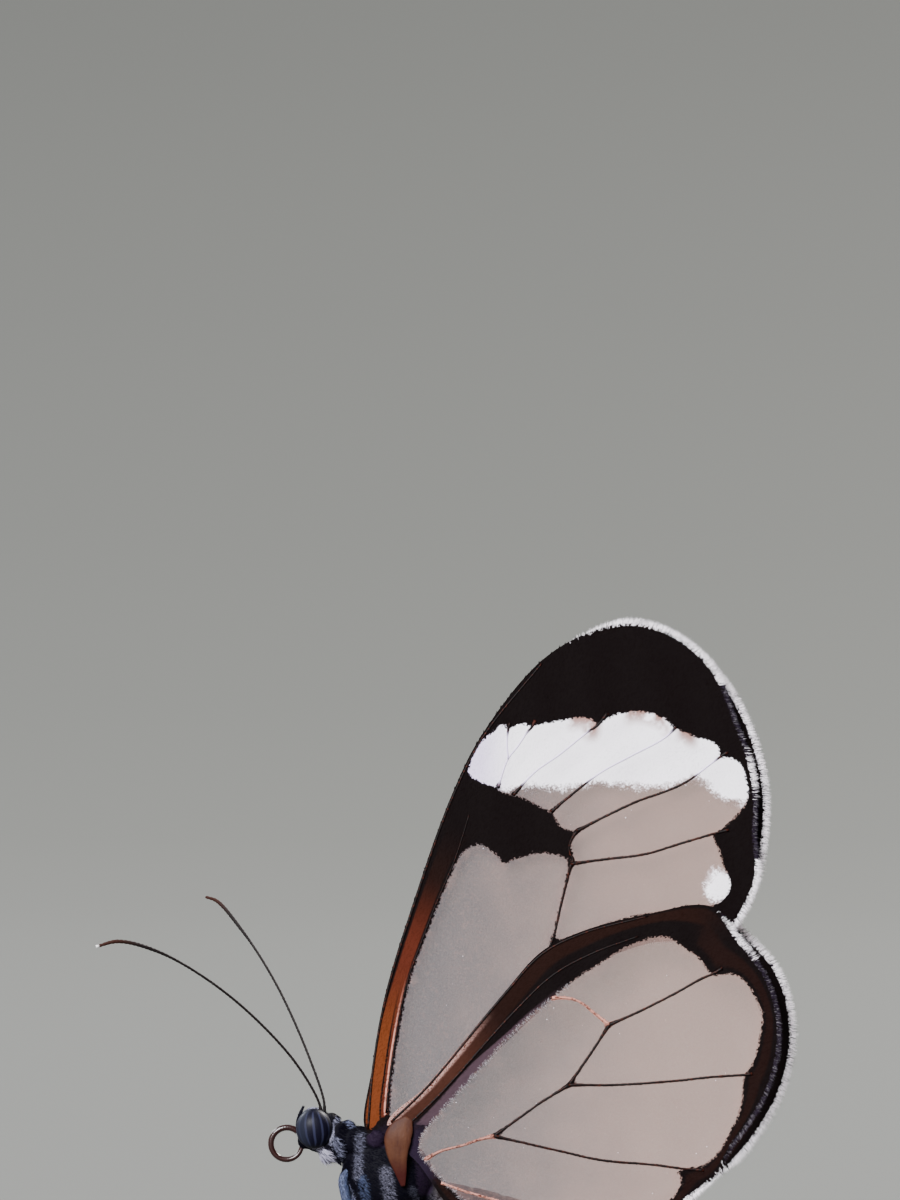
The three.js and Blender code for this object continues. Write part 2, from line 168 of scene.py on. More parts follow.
# Scales and hairs of the wings: how many to a square millimetre or how far apart, and their sizes
SCALES = {"density": 75, "length": (0.09, 0.15), "width": (0.045, 0.07), "thick": 0.004, "above": 0.006}
ROOT_HAIRS = {
    "density": 150, "length": (0.08, 0.24), "width": 0.014, "thick": 0.01, "above": 0.03, "tone": 0.225,
}
FRINGE = {"step": 0.0065, "length": (0.24, 0.16), "width": 0.022, "thick": 0.014, "deep": 0.16}
BRIGHT_STREAK = {"fore": (17.45, 18.95), "hind": (9.1, 11.5)}
# Where the hindwings' and forewings' bands turn to damson at the root, and how far that reaches
ROOT_PATCH = {
    "fore": {"at": (0.5, 0.0, -0.3), "reach": 0.9},
    "hind": {"at": (1.5, 0.0, -1.0), "reach": 1.9},
}

# Linear colours
COLOUR = {
    "membrane": (0.088, 0.070, 0.080),
    # The clear membrane where painted light brightens it
    "painted_light_veil": (0.300, 0.192, 0.165),
    "white": (0.96, 0.90, 0.96),
    "lavender": (0.66, 0.56, 0.78),
    "rose": (0.34, 0.195, 0.170),
    "dark": (0.0019, 0.0004, 0.0005),
    "brown": (0.0085, 0.0020, 0.0010),
    "border": (0.0068, 0.0016, 0.0010),
    "amber": (0.098, 0.0215, 0.0050),
    "rust": (0.060, 0.0105, 0.0045),
    "copper": (0.034, 0.0105, 0.0064),
    "tawny": (0.056, 0.0200, 0.0098),
    "ember": (0.028, 0.0045, 0.0035),
    "pink": (0.42, 0.18, 0.14),
    "plum": (0.044, 0.025, 0.033),
    "fringe": (0.95, 0.88, 0.93),
    "horn": (0.005, 0.003, 0.003),
    "tongue": (0.010, 0.0018, 0.0016),
    "black": (0.0012, 0.0009, 0.0030),
    "bark": (0.015, 0.0075, 0.0055),
    "damson": (0.0105, 0.0055, 0.0140),
    "silver": (0.33, 0.31, 0.40),
    "steel": (0.048, 0.085, 0.205),
    "cream": (0.46, 0.38, 0.32),
    "eye": (0.0022, 0.0018, 0.0070),
    "eye_stripe": (0.0150, 0.0160, 0.0360),
    "eye_front": (0.0120, 0.0135, 0.0230),
    "feeler_tip": (0.022, 0.0055, 0.003),
    "feeler_end": (0.75, 0.72, 0.72),
    "tongue_light": (0.018, 0.0025, 0.0022),
    "leg": (0.022, 0.014, 0.012),
    "leg_light": (0.09, 0.058, 0.045),
    "fore_leg": (0.022, 0.028, 0.060),
    "fore_leg_light": (0.07, 0.09, 0.17),
    "floor": (0.064, 0.066, 0.062),
    "floor_light": (0.080, 0.081, 0.076),
}

TILT = math.radians(22)
AXIS = np.array([math.cos(TILT), 0.0, -math.sin(TILT)])


# Curves and fields

def smooth(points, step, closed=False):
    """A soft curve through the points, as places about step apart."""
    given = np.asarray(points, float)
    if closed:
        padded = np.vstack([given[-1], given, given[0], given[1]])
    else:
        padded = np.vstack([2 * given[0] - given[1], given, 2 * given[-1] - given[-2]])
    share = np.linspace(0, 1, 16, endpoint=False)[:, None]
    stretches = []
    for a, b, c, d in zip(padded, padded[1:], padded[2:], padded[3:]):
        t0, t1, t2, t3 = np.cumsum([0.0] + [np.linalg.norm(v) ** 0.5 for v in (b - a, c - b, d - c)])
        t = t1 + (t2 - t1) * share
        ab = ((t1 - t) * a + (t - t0) * b) / (t1 - t0)
        bc = ((t2 - t) * b + (t - t1) * c) / (t2 - t1)
        cd = ((t3 - t) * c + (t - t2) * d) / (t3 - t2)
        abc = ((t2 - t) * ab + (t - t0) * bc) / (t2 - t0)
        bcd = ((t3 - t) * bc + (t - t1) * cd) / (t3 - t1)
        stretches.append(((t2 - t) * abc + (t - t1) * bcd) / (t2 - t1))
    curve = np.vstack([*stretches, given[:1] if closed else given[-1:]])
    even = resample(curve, step)
    return even[:-1] if closed else even


def resample(points, step):
    lengths = np.linalg.norm(np.diff(points, axis=0), axis=1)
    far = np.concatenate([[0], np.cumsum(lengths)])
    at = np.linspace(0, far[-1], max(2, round(far[-1] / step) + 1))
    return np.stack([np.interp(at, far, column) for column in points.T], axis=1)


def nearest(places, route):
    """How far each place is from a route, and how far along the route its nearest point lies."""
    run = np.diff(route, axis=0)
    size = np.maximum((run ** 2).sum(1), 1e-12)
    gap = places[:, None] - route[:-1]
    share = np.clip((gap * run).sum(2) / size, 0, 1)
    away = np.linalg.norm(gap - share[..., None] * run, axis=2)
    best = away.argmin(1)
    rows = np.arange(len(places))
    begins = np.concatenate([[0], np.cumsum(np.sqrt(size))[:-1]])
    return away[rows, best], begins[best] + share[rows, best] * np.sqrt(size[best])


def inside(places, outline):
    a, b = outline, np.roll(outline, -1, axis=0)
    x, y = places[:, :1], places[:, 1:2]
    spans = (a[:, 1] > y) != (b[:, 1] > y)
    rise = np.where(b[:, 1] == a[:, 1], 1.0, b[:, 1] - a[:, 1])
    crossing = (b[:, 0] - a[:, 0]) * (y - a[:, 1]) / rise + a[:, 0]
    return (spans & (x < crossing)).sum(1) % 2 == 1


def outside(places, outline):
    """Distance to an outline, positive outside it and negative inside."""
    away, _ = nearest(places, np.vstack([outline, outline[:1]]))
    return np.where(inside(places, outline), -away, away)


def ease(value, low, high):
    t = np.clip((value - low) / (high - low), 0, 1)
    return t * t * (3 - 2 * t)


def rounded(outline, turns=2):
    """An outline with its corners cut, and cut again on each further turn."""
    for _ in range(turns):
        after = np.roll(outline, -1, axis=0)
        outline = np.stack([outline * 0.75 + after * 0.25, outline * 0.25 + after * 0.75], 1).reshape(-1, 2)
    return outline


def unit(vectors):
    return vectors / np.maximum(np.linalg.norm(vectors, axis=-1, keepdims=True), 1e-12)


# Finishes

class Value:
    """One output of a finish's nodes, so that shader sums read as sums."""

    def __init__(self, finish, socket):
        self.finish = finish
        self.socket = socket

    def _sum(self, operation, first, second):
        return self.finish.node("Math", {"operation": operation}, {0: first, 1: second})

    def __add__(self, other):
        return self._sum("ADD", self, other)

    def __sub__(self, other):
        return self._sum("SUBTRACT", self, other)

    def __rsub__(self, other):
        return self._sum("SUBTRACT", other, self)

    def __mul__(self, other):
        return self._sum("MULTIPLY", self, other)

    def __truediv__(self, other):
        return self._sum("DIVIDE", self, other)

    __radd__ = __add__


class Finish:
    """A material: its surface sockets, and the nodes that drive them."""

    def __init__(self, name, **surface):
        self.material = bpy.data.materials.new(name)
        self.material.use_nodes = True
        self.tree = self.material.node_tree
        self.surface = self.tree.nodes["Principled BSDF"]
        for socket, value in surface.items():
            self.feed(self.surface.inputs[socket.replace("_", " ")], value)

    def feed(self, socket, value):
        """Links a value to a socket, or sets the socket to a number, a vector or one of COLOUR's names."""
        if isinstance(value, str):
            value = COLOUR[value]
        if isinstance(value, Value):
            self.tree.links.new(value.socket, socket)
        elif socket.type == "RGBA" and len(value) == 3:
            socket.default_value = (*value, 1.0)
        else:
            socket.default_value = value

    def set(self, name, value):
        self.feed(self.surface.inputs[name], value)

    def node(self, kind, settings, sockets, output=0):
        made = self.tree.nodes.new("ShaderNode" + kind)
        for name, value in settings.items():
            setattr(made, name, value)
        for name, value in sockets.items():
            self.feed(made.inputs[name], value)
        return Value(self, made.outputs[output])

    def mark(self, name):
        return self.node("Attribute", {"attribute_name": name}, {}, "Fac")

    def place(self, stretch=(1.0, 1.0, 1.0)):
        """Where a point lies, in millimetres, each axis times its stretch."""
        here = self.node("TexCoord", {}, {}, "Object")
        scale = tuple(value / MM for value in stretch)
        return self.node("VectorMath", {"operation": "MULTIPLY"}, {0: here, 1: scale})

    def noise(self, place, scale, detail=2.0):
        return self.node("TexNoise", {}, {"Vector": place, "Scale": scale, "Detail": detail})

    def cells(self, place, scale):
        """A number for each small cell, from 0 to 1."""
        tone = self.node("TexVoronoi", {}, {"Vector": place, "Scale": scale}, "Color")
        return self.node("SeparateColor", {}, {0: tone})

    def step(self, value, low, high):
        settings = {"interpolation_type": "SMOOTHSTEP"}
        return self.node("MapRange", settings, {"Value": value, "From Min": low, "From Max": high})

    def blend(self, first, second, share):
        sockets = {0: share, 6: first, 7: second}
        return self.node("Mix", {"data_type": "RGBA"}, sockets, 2)

    def bump(self, height, distance):
        sockets = {"Height": height, "Distance": distance * MM, "Strength": 1.0}
        self.set("Normal", self.node("Bump", {}, sockets))


# Pieces

def add_piece(name, places, faces, finish, nodes=(), marks=None, uv=None, smooth_shaded=True):
    """Makes a mesh object of places in millimetres from the hinge, riding on the butterfly."""
    mesh = bpy.data.meshes.new(name)
    mesh.from_pydata(((np.asarray(places) + HINGE) * MM).tolist(), [], [list(face) for face in faces])
    if smooth_shaded:
        mesh.shade_smooth()
    else:
        mesh.shade_flat()
    for mark, values in (marks or {}).items():
        data = mesh.attributes.new(mark, "FLOAT", "POINT").data
        data.foreach_set("value", np.asarray(values, float))
    if uv is not None:
        corners = np.empty(len(mesh.loops), dtype=int)
        mesh.loops.foreach_get("vertex_index", corners)
        mesh.uv_layers.new(name="OFBake").data.foreach_set("uv", np.asarray(uv)[corners].ravel())
    mesh.materials.append(finish.material)
    piece = bpy.data.objects.new(name, mesh)
    bpy.context.scene.collection.objects.link(piece)
    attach(piece, "root")
    if nodes:
        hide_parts(*nodes)


def tube(points, radii, sides, flat=1.0):
    """A closed bar along points, with a radius at each; flat squeezes it along its second direction."""
    points = np.asarray(points, float)
    radii = np.broadcast_to(radii, len(points))
    tangents = unit(np.gradient(points, axis=0))
    normal = unit(np.cross(tangents[0], (0.31, 0.92, 0.22)))
    places = []
    angles = np.linspace(0, 2 * math.pi, sides, endpoint=False)[:, None]
    for point, tangent, radius in zip(points, tangents, radii):
        normal = unit(normal - tangent * (normal @ tangent))
        other = np.cross(tangent, normal)
        places.append(point + radius * (np.cos(angles) * normal + flat * np.sin(angles) * other))
    places = np.vstack([*places, points[:1], points[-1:]])
    faces = []
    for ring in range(len(points) - 1):
        for side in range(sides):
            a, b = ring * sides + side, ring * sides + (side + 1) % sides
            faces.append((a, b, b + sides, a + sides))
    first, last = len(points) * sides, len(points) * sides + 1
    for side in range(sides):
        after = (side + 1) % sides
        faces.append((after, side, first))
        faces.append((first - sides + side, first - sides + after, last))
    return places, faces


def joined(parts):
    """Several (places, faces) as one, with the number of the part that each place came from."""
    places, faces, owner, start = [], [], [], 0
    for number, (some, some_faces) in enumerate(parts):
        places.append(some)
        faces.extend([[corner + start for corner in face] for face in some_faces])
        owner.append(np.full(len(some), number))
        start += len(some)
    return np.vstack(places), faces, np.concatenate(owner)


def spikes(roots, along, up, length, width, thick, bend=None):
    """Tapered hairs or scales, one for each root, as closed bars of three sides."""
    along = unit(along)
    across = unit(np.cross(up, along))
    outward = np.cross(along, across)
    length, width, thick = (np.broadcast_to(v, len(roots))[:, None] for v in (length, width, thick))
    corners = [-0.5 * width * across, 0.5 * width * across, thick * outward]
    rings = [np.stack([roots + corner for corner in corners], 1)]
    if bend is not None:
        middle = roots + along * length * 0.5 + bend * length * 0.25
        rings.append(np.stack([middle + 0.8 * corner for corner in corners], 1))
    tip = roots + along * length + (0 if bend is None else bend * length)
    places = np.concatenate([*rings, tip[:, None]], 1)
    count = places.shape[1]
    one = [(2, 1, 0)]
    for ring in range(len(rings) - 1):
        one += [(3 * ring + i, 3 * ring + (i + 1) % 3, 3 * ring + 3 + i) for i in range(3)]
        one += [(3 * ring + (i + 1) % 3, 3 * ring + 3 + (i + 1) % 3, 3 * ring + 3 + i) for i in range(3)]
    top = 3 * (len(rings) - 1)
    one += [(top + i, top + (i + 1) % 3, count - 1) for i in range(3)]
    faces = (np.arange(len(roots))[:, None, None] * count + np.array(one)).reshape(-1, 3)
    return places.reshape(-1, 3), faces, count


def patch_map(root_map, count, size=0.003):
    """Each tuft's corners, as a patch of this size round its root's place on the skin's map."""
    spread = np.array([[0, 0], [1, 0], [1, 1], [0, 1], [0.5, 1], [0.5, 0], [0.5, 0.5]])[:count]
    return (root_map[:, None] + (spread - 0.5) * size).reshape(-1, 2)


# Wings

def near_inset(kind, rim):
    """How far the near wing's outer rim is turned in, so that the far wing's shows beyond it."""
    back, up = rim.T
    if kind == "fore":
        return 0.5 * ease(up, 12.5, 15.5) * (1 - ease(up, 20.5, 24.0)) * ease(back, 14.5, 16.0)
    return 0.62 * ease(back, 16.3, 18.3) * ease(up, -3.5, -1.0) * (1 - 0.4 * ease(up, 8.0, 11.0))


def wing_rim(kind, near):
    rim = smooth(FORE_EDGE if kind == "fore" else HIND_EDGE, GRID["rim"], closed=True)
    if near:
        along = unit(np.roll(rim, -1, axis=0) - np.roll(rim, 1, axis=0))
        inward = np.column_stack([along[:, 1], -along[:, 0]])
        rim = rim + inward * near_inset(kind, rim)[:, None]
    return rim


def vein_fields(kind, places, white, window):
    """How deep each place lies in a vein's dark line, negative beside it, and how pink that vein is."""
    deep = np.full(len(places), -9.0)
    pink = np.zeros(len(places))
    pale = VEIN_HALF["white"] * ease(white, 0.0, 0.4) * ease(-window, 0.1, 0.55)
    for name, route in VEINS[kind].items():
        line = smooth(route, 0.3)
        away, at = nearest(places, line)
        total = np.linalg.norm(np.diff(line, axis=0), axis=1).sum()
        ends = np.exp(-np.minimum(at, total - at) / VEIN_HALF["fade"])
        found = VEIN_HALF["plain"] + VEIN_HALF["end"] * ends - away - pale
        pink = np.where(found > deep, PINK_VEINS.get(name, 0.0) if kind == "hind" else 0.0, pink)
        deep = np.maximum(deep, found)
    return deep, pink


def wing_fields(kind, places, rim):
    windows = [DISCAL_CELL, OUTER_CELLS] if kind == "fore" else [HIND_CELLS]
    window = np.min([outside(places, rounded(np.array(cell))) for cell in windows], axis=0)
    edge, along = nearest(places, np.vstack([rim[::4], rim[:1]]))
    white = np.full(len(places), -5.0)
    if kind == "fore":
        spot = np.hypot(*((places - WHITE_SPOT["at"]) / WHITE_SPOT["half"]).T)
        band = -outside(places, rounded(np.array(WHITE_BAND), 1))
        white = np.maximum(band, (1 - spot) * 0.75)
    vein, pink = vein_fields(kind, places, white, window)
    return {"window": window, "vein": vein, "pink": pink, "edge": edge, "along": along, "white": white}


def lift(kind, side, places, fields):
    """Places on a wing's sheet, from back and up as the photo shows them, with its gentle relief."""
    back, up = places.T
    sag = SHEET["sag"] * ease(-np.maximum(fields["window"], fields["vein"]), 0.0, 1.3)
    ripple = SHEET["ripple"] * np.sin(back * 1.9 + up * 0.6) * ease(fields["edge"], 0.0, 2.0)
    if kind == "fore":
        bow = 1 - ease(np.hypot(back, up), 0.0, SHEET["bow_reach"])
        out = SHEET["fore_out"] + SHEET["fore_bow"] * bow
    else:
        out = SHEET["hind_out"] + (SHEET["hind_top"] - up) * math.tan(math.radians(SHEET["splay"]))
    out = side * (out - sag + ripple)
    seen = AIM + (places - AIM) * (1 + out / CAMERA_AWAY)[:, None]
    return np.column_stack([seen[:, 0], out, seen[:, 1]])


class Wing:
    """One wing's sheet, and what is needed to set other things on it."""

    def __init__(self, kind, name):
        self.kind = kind
        self.side = SIDES[name]
        self.name = f"{kind}wing_{name}"
        self.near = name == "left"
        self.rim = wing_rim(kind, self.near)
        self.low, self.high = self.rim.min(0), self.rim.max(0)
        self.span = (self.high - self.low).max()

    def fields(self, places):
        return wing_fields(self.kind, places, self.rim)

    def inset(self, places):
        return near_inset(self.kind, places) if self.near else np.zeros(len(places))

    def on(self, places, fields=None, above=0.0):
        found = lift(self.kind, self.side, places, fields or self.fields(places))
        found[:, 1] += self.side * above
        return found

    def map(self, places):
        return 0.02 + 0.96 * (places - self.low) / self.span


def clear_of_rim(wing, places):
    """The places that lie inside a wing, a little way from its rim."""
    places = places[inside(places, wing.rim)]
    away, _ = nearest(places, np.vstack([wing.rim[::3], wing.rim[:1]]))
    return places[away > GRID["clear_of_rim"]]


def sheet_places(wing, random):
    """The sheet's corners: its rim, an uneven grid of triangles and the lines of its veins."""
    step, stray = GRID["inner"], GRID["stray"]
    rows = np.arange(wing.low[1], wing.high[1], step * 0.866)
    grid = [
        (back + (0.5 * step if i % 2 else 0.0), up)
        for i, up in enumerate(rows)
        for back in np.arange(wing.low[0], wing.high[0], step)
    ]
    grid = np.array(grid) + random.uniform(-stray, stray, (len(grid), 2))
    lines = np.vstack([smooth(route, GRID["vein"]) for route in VEINS[wing.kind].values()])
    return np.vstack([wing.rim, clear_of_rim(wing, grid), clear_of_rim(wing, lines)])


def add_sheet(wing, finish, random):
    places = sheet_places(wing, random)
    loop = list(range(len(wing.rim)))
    found = geometry.delaunay_2d_cdt([Vector(p) for p in places.tolist()], [], [loop], 1, 1e-4)
    flat = np.array([tuple(v) for v in found[0]])
    fields = wing.fields(flat)
    faces = [face if wing.side < 0 else face[::-1] for face in found[2]]
    add_piece(
        wing.name, wing.on(flat, fields), faces, finish,
        nodes=(wing.name,), marks=fields, uv=wing.map(flat),
    )


def wing_tones(finish, kind):
    """The wing's colour at each place, how solid it is there, and its two kinds of grain."""
    window, vein, pink = finish.mark("window"), finish.mark("vein"), finish.mark("pink")
    edge, along, white = finish.mark("edge"), finish.mark("along"), finish.mark("white")
    here = finish.place()
    scale = finish.cells(here, 12.0)
    fine = finish.noise(here, 16.0, 3.0)
    soft = finish.noise(here, 0.55, 2.0)
    patchy = finish.noise(here, 1.6, 2.0)
    # Painted glints: small white specks on the clear membrane, which is also made more solid at them
    glint_distance = finish.node("TexVoronoi", {}, {"Vector": here, "Scale": 1.3})
    painted_glint = 1 - finish.step(glint_distance + patchy * 0.05, 0.035, 0.065)
    grain = finish.step(finish.noise(here, 9.5, 4.0), 0.48, 0.72)

    ragged = (scale - 0.5) * 0.13
    in_rim = finish.step(window + ragged, -0.03, 0.03)
    in_vein = finish.step(vein + ragged * 0.3, -0.02, 0.02)
    in_white = finish.step(white + (scale - 0.5) * 0.3 + (patchy - 0.5) * 0.7, -0.22, 0.22)

    near_rim = finish.step(window, -0.6, 0.0)
    side = finish.node("SeparateXYZ", {}, {0: here}, 0)
    height = finish.node("SeparateXYZ", {}, {0: here}, 2)
    # Painted light: the clear membrane turns lighter and warmer towards the wing's outer end, where the
    # light falls
    outwards = finish.step(side + soft * 6.0 - near_rim * 1.5, 1.0, 15.0)
    veil = finish.blend("membrane", "painted_light_veil", outwards)
    # Painted sheen: rose patches on the clear membrane near the dark rim
    veil = finish.blend(veil, "rose", near_rim * finish.step(patchy, 0.4, 0.7) * 0.35)
    veil = finish.blend(veil, "rose", grain * 0.45)
    veil = finish.blend(veil, "white", painted_glint * 0.8)
    worn = sum(pulse(finish, side, begin, end, 0.3) for begin, end in THIN_PATCHES)
    upper = finish.step(height, 28.6, 29.4) * worn
    thin = finish.step(window, -0.85, -0.05) * finish.step(patchy, 0.26, 0.5) * upper
    # Painted shade: the white scales turn lavender towards the band's inner end, away from the light
    white_with_painted_shade = finish.blend("lavender", "white", finish.step(side, 1.4, 3.6))
    colour = finish.blend(veil, finish.blend(white_with_painted_shade, "rose", thin), in_white)

    across = window / (window + edge + 0.02)
    banded = {"fore": fore_band, "hind": hind_band}[kind]
    band = banded(finish, across, along, fine)
    core, reach = tuple(HINGE + ROOT_PATCH[kind]["at"]), ROOT_PATCH[kind]["reach"]
    root = finish.node("VectorMath", {"operation": "DISTANCE"}, {0: here, 1: core}, 1)
    band = finish.blend(band, "damson", 1 - finish.step(root + fine * 0.6 - 0.3, reach, reach + 0.7))
    colour = finish.blend(colour, band, in_rim)
    line = finish.blend("dark", "pink", pink * finish.step(fine, 0.3, 0.55))
    colour = finish.blend(colour, line, in_vein * (1 - in_rim))

    solid = in_rim + in_vein - in_rim * in_vein
    filled = solid + (1 - solid) * in_white * (0.97 - thin * 0.35)
    clear = 0.42 + (fine - 0.5) * 0.5 + painted_glint * 0.5 + near_rim * 0.08
    return colour, filled, filled + (1 - filled) * clear, scale, fine


def pulse(finish, value, low, high, soft=0.03):
    return finish.step(value, low - soft, low + soft) * (1 - finish.step(value, high - soft, high + soft))


def fore_band(finish, across, along, fine):
    """Across the forewing's front: black rim, amber trough, dark line, pale line, dark line."""
    root = 1 - finish.step(along, 4.5, 8.5)
    core = finish.blend("amber", "rust", finish.step(along + fine * 3.0, 6.0, 10.5))
    core = finish.blend(core, "brown", finish.step(along, 9.5, 13.5))
    colour = finish.blend(core, "rust", root * (1 - finish.step(across, 0.3, 0.36)))
    colour = finish.blend(colour, "pink", root * pulse(finish, across, 0.17, 0.24, 0.02))
    colour = finish.blend(colour, "dark", root * pulse(finish, across, 0.34, 0.42, 0.02))
    colour = finish.blend(colour, "dark", 1 - finish.step(across + root * 0.08, 0.14, 0.22))
    colour = finish.blend(colour, "dark", finish.step(across - root * 0.14, 0.72, 0.8))
    return finish.blend(colour, "dark", finish.step(along, 12.0, 16.5))


def hind_band(finish, across, along, fine):
    """Across the hindwing's front: rosy ridge, copper trough, dark line, plum strip; brown further out."""
    root = 1 - finish.step(along, 4.5, 8.0)
    inner = 1 - finish.step(along, 6.5, 12.0)
    colour = finish.blend("brown", "copper", root)
    beads = finish.blend("rose", "rust", finish.step(fine, 0.52, 0.6))
    ridge = finish.step(across, 0.72, 0.86) * root
    colour = finish.blend(colour, beads, ridge)
    dark_low = 0.62 - inner * 0.17
    colour = finish.blend(colour, "dark", 1 - finish.step(across - dark_low, -0.08, 0.02))
    strip = (1 - finish.step(across - root * 0.22, 0.06, 0.12)) * inner
    colour = finish.blend(colour, "plum", strip)
    outer = finish.step(across, 0.88, 0.95) * (1 - root)
    colour = finish.blend(colour, "dark", outer)
    border = finish.step(along, 19.0, 23.0)
    rim = finish.blend("dark", "border", pulse(finish, across, 0.2, 0.62, 0.08))
    return finish.blend(colour, rim, border)


def wing_finish(kind):
    finish = Finish(f"{kind}wing sheet", Specular_IOR_Level=0.06)
    colour, filled, alpha, scale, fine = wing_tones(finish, kind)
    finish.set("Base Color", colour)
    finish.set("Alpha", alpha)
    finish.set("Roughness", 0.4 + filled * 0.3)
    finish.bump(scale * filled + fine * 0.5, 0.012)
    return finish


def scale_finish(kind):
    finish = Finish(f"{kind}wing scales", Roughness=0.6, Specular_IOR_Level=0.04)
    colour, _, _, _, _ = wing_tones(finish, kind)
    tone = finish.mark("tone")
    worn = finish.blend(colour, "dark", (1 - tone) * 0.12)
    finish.set("Base Color", finish.blend(worn, colour, tone))
    return finish


def add_veins(wing, finish):
    """The veins as raised bars, and the two stout ones that carry the front edge."""
    bars, pink, pale = [], [], []
    for name, route in VEINS[wing.kind].items():
        line = smooth(route, 0.15)
        line = line[inside(line, wing.rim)]
        fields = wing.fields(line)
        line = line[(fields["edge"] > 0.3) & (fields["window"] < 0.3)]
        if len(line) < 3:
            continue
        fields = wing.fields(line)
        share = ease(fields["white"], 0.1, 0.4) * ease(-fields["window"], 0.1, 0.5)
        ends = np.minimum(np.arange(len(line)), np.arange(len(line))[::-1]) * 0.15
        radius = (0.048 + 0.04 * np.exp(-ends / 0.4)) * (1 - 0.35 * share)
        bars.append(tube(wing.on(line, fields, above=0.01), radius, 7, 0.8))
        tone = PINK_VEINS.get(name, 0.0) if wing.kind == "hind" else 0.0
        pink.append(np.full(len(bars[-1][0]), tone))
        pale.append(np.append(np.repeat(share, 7), share[[0, -1]]))
    places, faces, _ = joined(bars)
    marks = {"pink": np.concatenate(pink), "pale": np.concatenate(pale)}
    add_piece(f"{wing.name}_veins", places, faces, finish, marks=marks)
    bars = []
    for route, stout in zip(FRONT_VEINS[wing.kind], FRONT_HALF):
        line = smooth(route, 0.25)
        radius = stout * (1 - 0.4 * np.linspace(0, 1, len(line)))
        bars.append(tube(wing.on(line, above=0.02), radius, 8, 0.8))
    places, faces, _ = joined(bars)
    marks = {"pink": np.zeros(len(places)), "pale": np.zeros(len(places))}
    add_piece(f"{wing.name}_front_veins", places, faces, finish, marks=marks)


def add_fringe(wing, finish, random):
    """Hair scales along the outer rim, pale, but dusky and short where the near wing's is turned in. The
    hindwing's root hairs are part of the same piece."""
    rim = np.vstack([wing.rim, wing.rim[:1]])
    dense = resample(rim, FRINGE["step"])
    ahead = unit(np.gradient(dense, axis=0))
    outward = np.column_stack([-ahead[:, 1], ahead[:, 0]])
    back, up = dense.T
    if wing.kind == "fore":
        share = ease(back + 0.55 * up, 17.5, 20.5) * ease(back, 9.0, 13.0) * ease(up, 9.2, 10.5)
    else:
        share = ease(back, 16.7, 17.9) + (1 - ease(up, -3.5, -1.5)) * ease(back, 3.5, 6.0)
        share = np.clip(share, 0, 1)
    keep = random.uniform(0, 1, len(dense)) < share
    roots, ahead, outward, share = dense[keep], ahead[keep], outward[keep], share[keep]
    jitter = random.normal(0, 1, (len(roots), 3))
    roots = roots - outward * random.uniform(0.0, FRINGE["deep"], (len(roots), 1))
    base = wing.on(roots)
    base[:, 1] += random.uniform(-0.03, 0.03, len(base))
    direction = np.column_stack([outward[:, 0], np.zeros(len(base)), outward[:, 1]])
    lean = np.column_stack([ahead[:, 0], np.zeros(len(base)), ahead[:, 1]])
    direction = unit(direction + 0.22 * lean + 0.17 * jitter)
    shortest, more = FRINGE["length"]
    length = (shortest + more * random.uniform(0, 1, len(base))) * (0.45 + 0.55 * share)
    shaded = wing.inset(roots) > 0.2
    bright_at = BRIGHT_STREAK[wing.kind]
    blur = roots[:, 1] + random.normal(0, 0.3, len(roots))
    streak = (blur > bright_at[0]) & (blur < bright_at[1])
    length = np.where(shaded & ~streak, length * 0.6, length)
    across = np.array([0, 1.0, 0])
    places, faces, per = spikes(base, direction, across, length, FRINGE["width"], FRINGE["thick"])
    tone = random.uniform(0, 1, len(base))
    tone = np.where(shaded & ~streak, 0.10 + tone * 0.11, tone)
    if wing.kind == "hind":
        hairs, some, hair_tone, hair_roots = root_hairs(wing, random)
        places, faces, _ = joined([(places, faces), (hairs, some)])
        tone, roots = np.append(tone, hair_tone), np.vstack([roots, hair_roots])
    tip = np.tile(np.array([0, 0, 0, 1.0]), len(tone))
    tone = np.repeat(tone, per)
    add_piece(
        f"{wing.name}_fringe", places, faces, finish,
        marks={"tone": tone, "tip": tip}, uv=patch_map(wing.map(roots), per), smooth_shaded=False,
    )


def scatter_flat(wing, density, random):
    """Random places over a wing, about density to each square millimetre."""
    count = int(np.prod(wing.high - wing.low) * density)
    places = random.uniform(wing.low, wing.high, (count, 2))
    return places[inside(places, wing.rim)]


def add_scales(wing, finish, random):
    """Overlapping scales on the dark rim, the white band and the veins, lying from the hinge outwards."""
    places = scatter_flat(wing, SCALES["density"], random)
    fields = wing.fields(places)
    dark = np.maximum(fields["window"] - 0.06, fields["vein"] - 0.03)
    half = random.uniform(0, 1, len(places)) < 0.5
    near = (dark > 0) | ((fields["white"] > 0.3) & (fields["window"] < -0.1) & half)
    places = places[near]
    fields = {name: values[near] for name, values in fields.items()}
    outward = unit(places + (3.0, 0.0)) + 0.3 * random.normal(0, 1, places.shape)
    base = wing.on(places, fields, above=SCALES["above"])
    rise = wing.side * random.uniform(0.0, 0.05, len(base))
    direction = np.column_stack([outward[:, 0], rise, outward[:, 1]])
    up = np.array([0, float(wing.side), 0])
    length = random.uniform(*SCALES["length"], len(base))
    width = random.uniform(*SCALES["width"], len(base))
    found, faces, per = spikes(base, direction, up, length, width, SCALES["thick"])
    marks = {name: np.repeat(values, per) for name, values in fields.items()}
    marks["tone"] = np.repeat(random.uniform(0, 1, len(base)), per)
    add_piece(
        f"{wing.name}_scales", found, faces, finish,
        marks=marks, uv=patch_map(wing.map(places), per), smooth_shaded=False,
    )


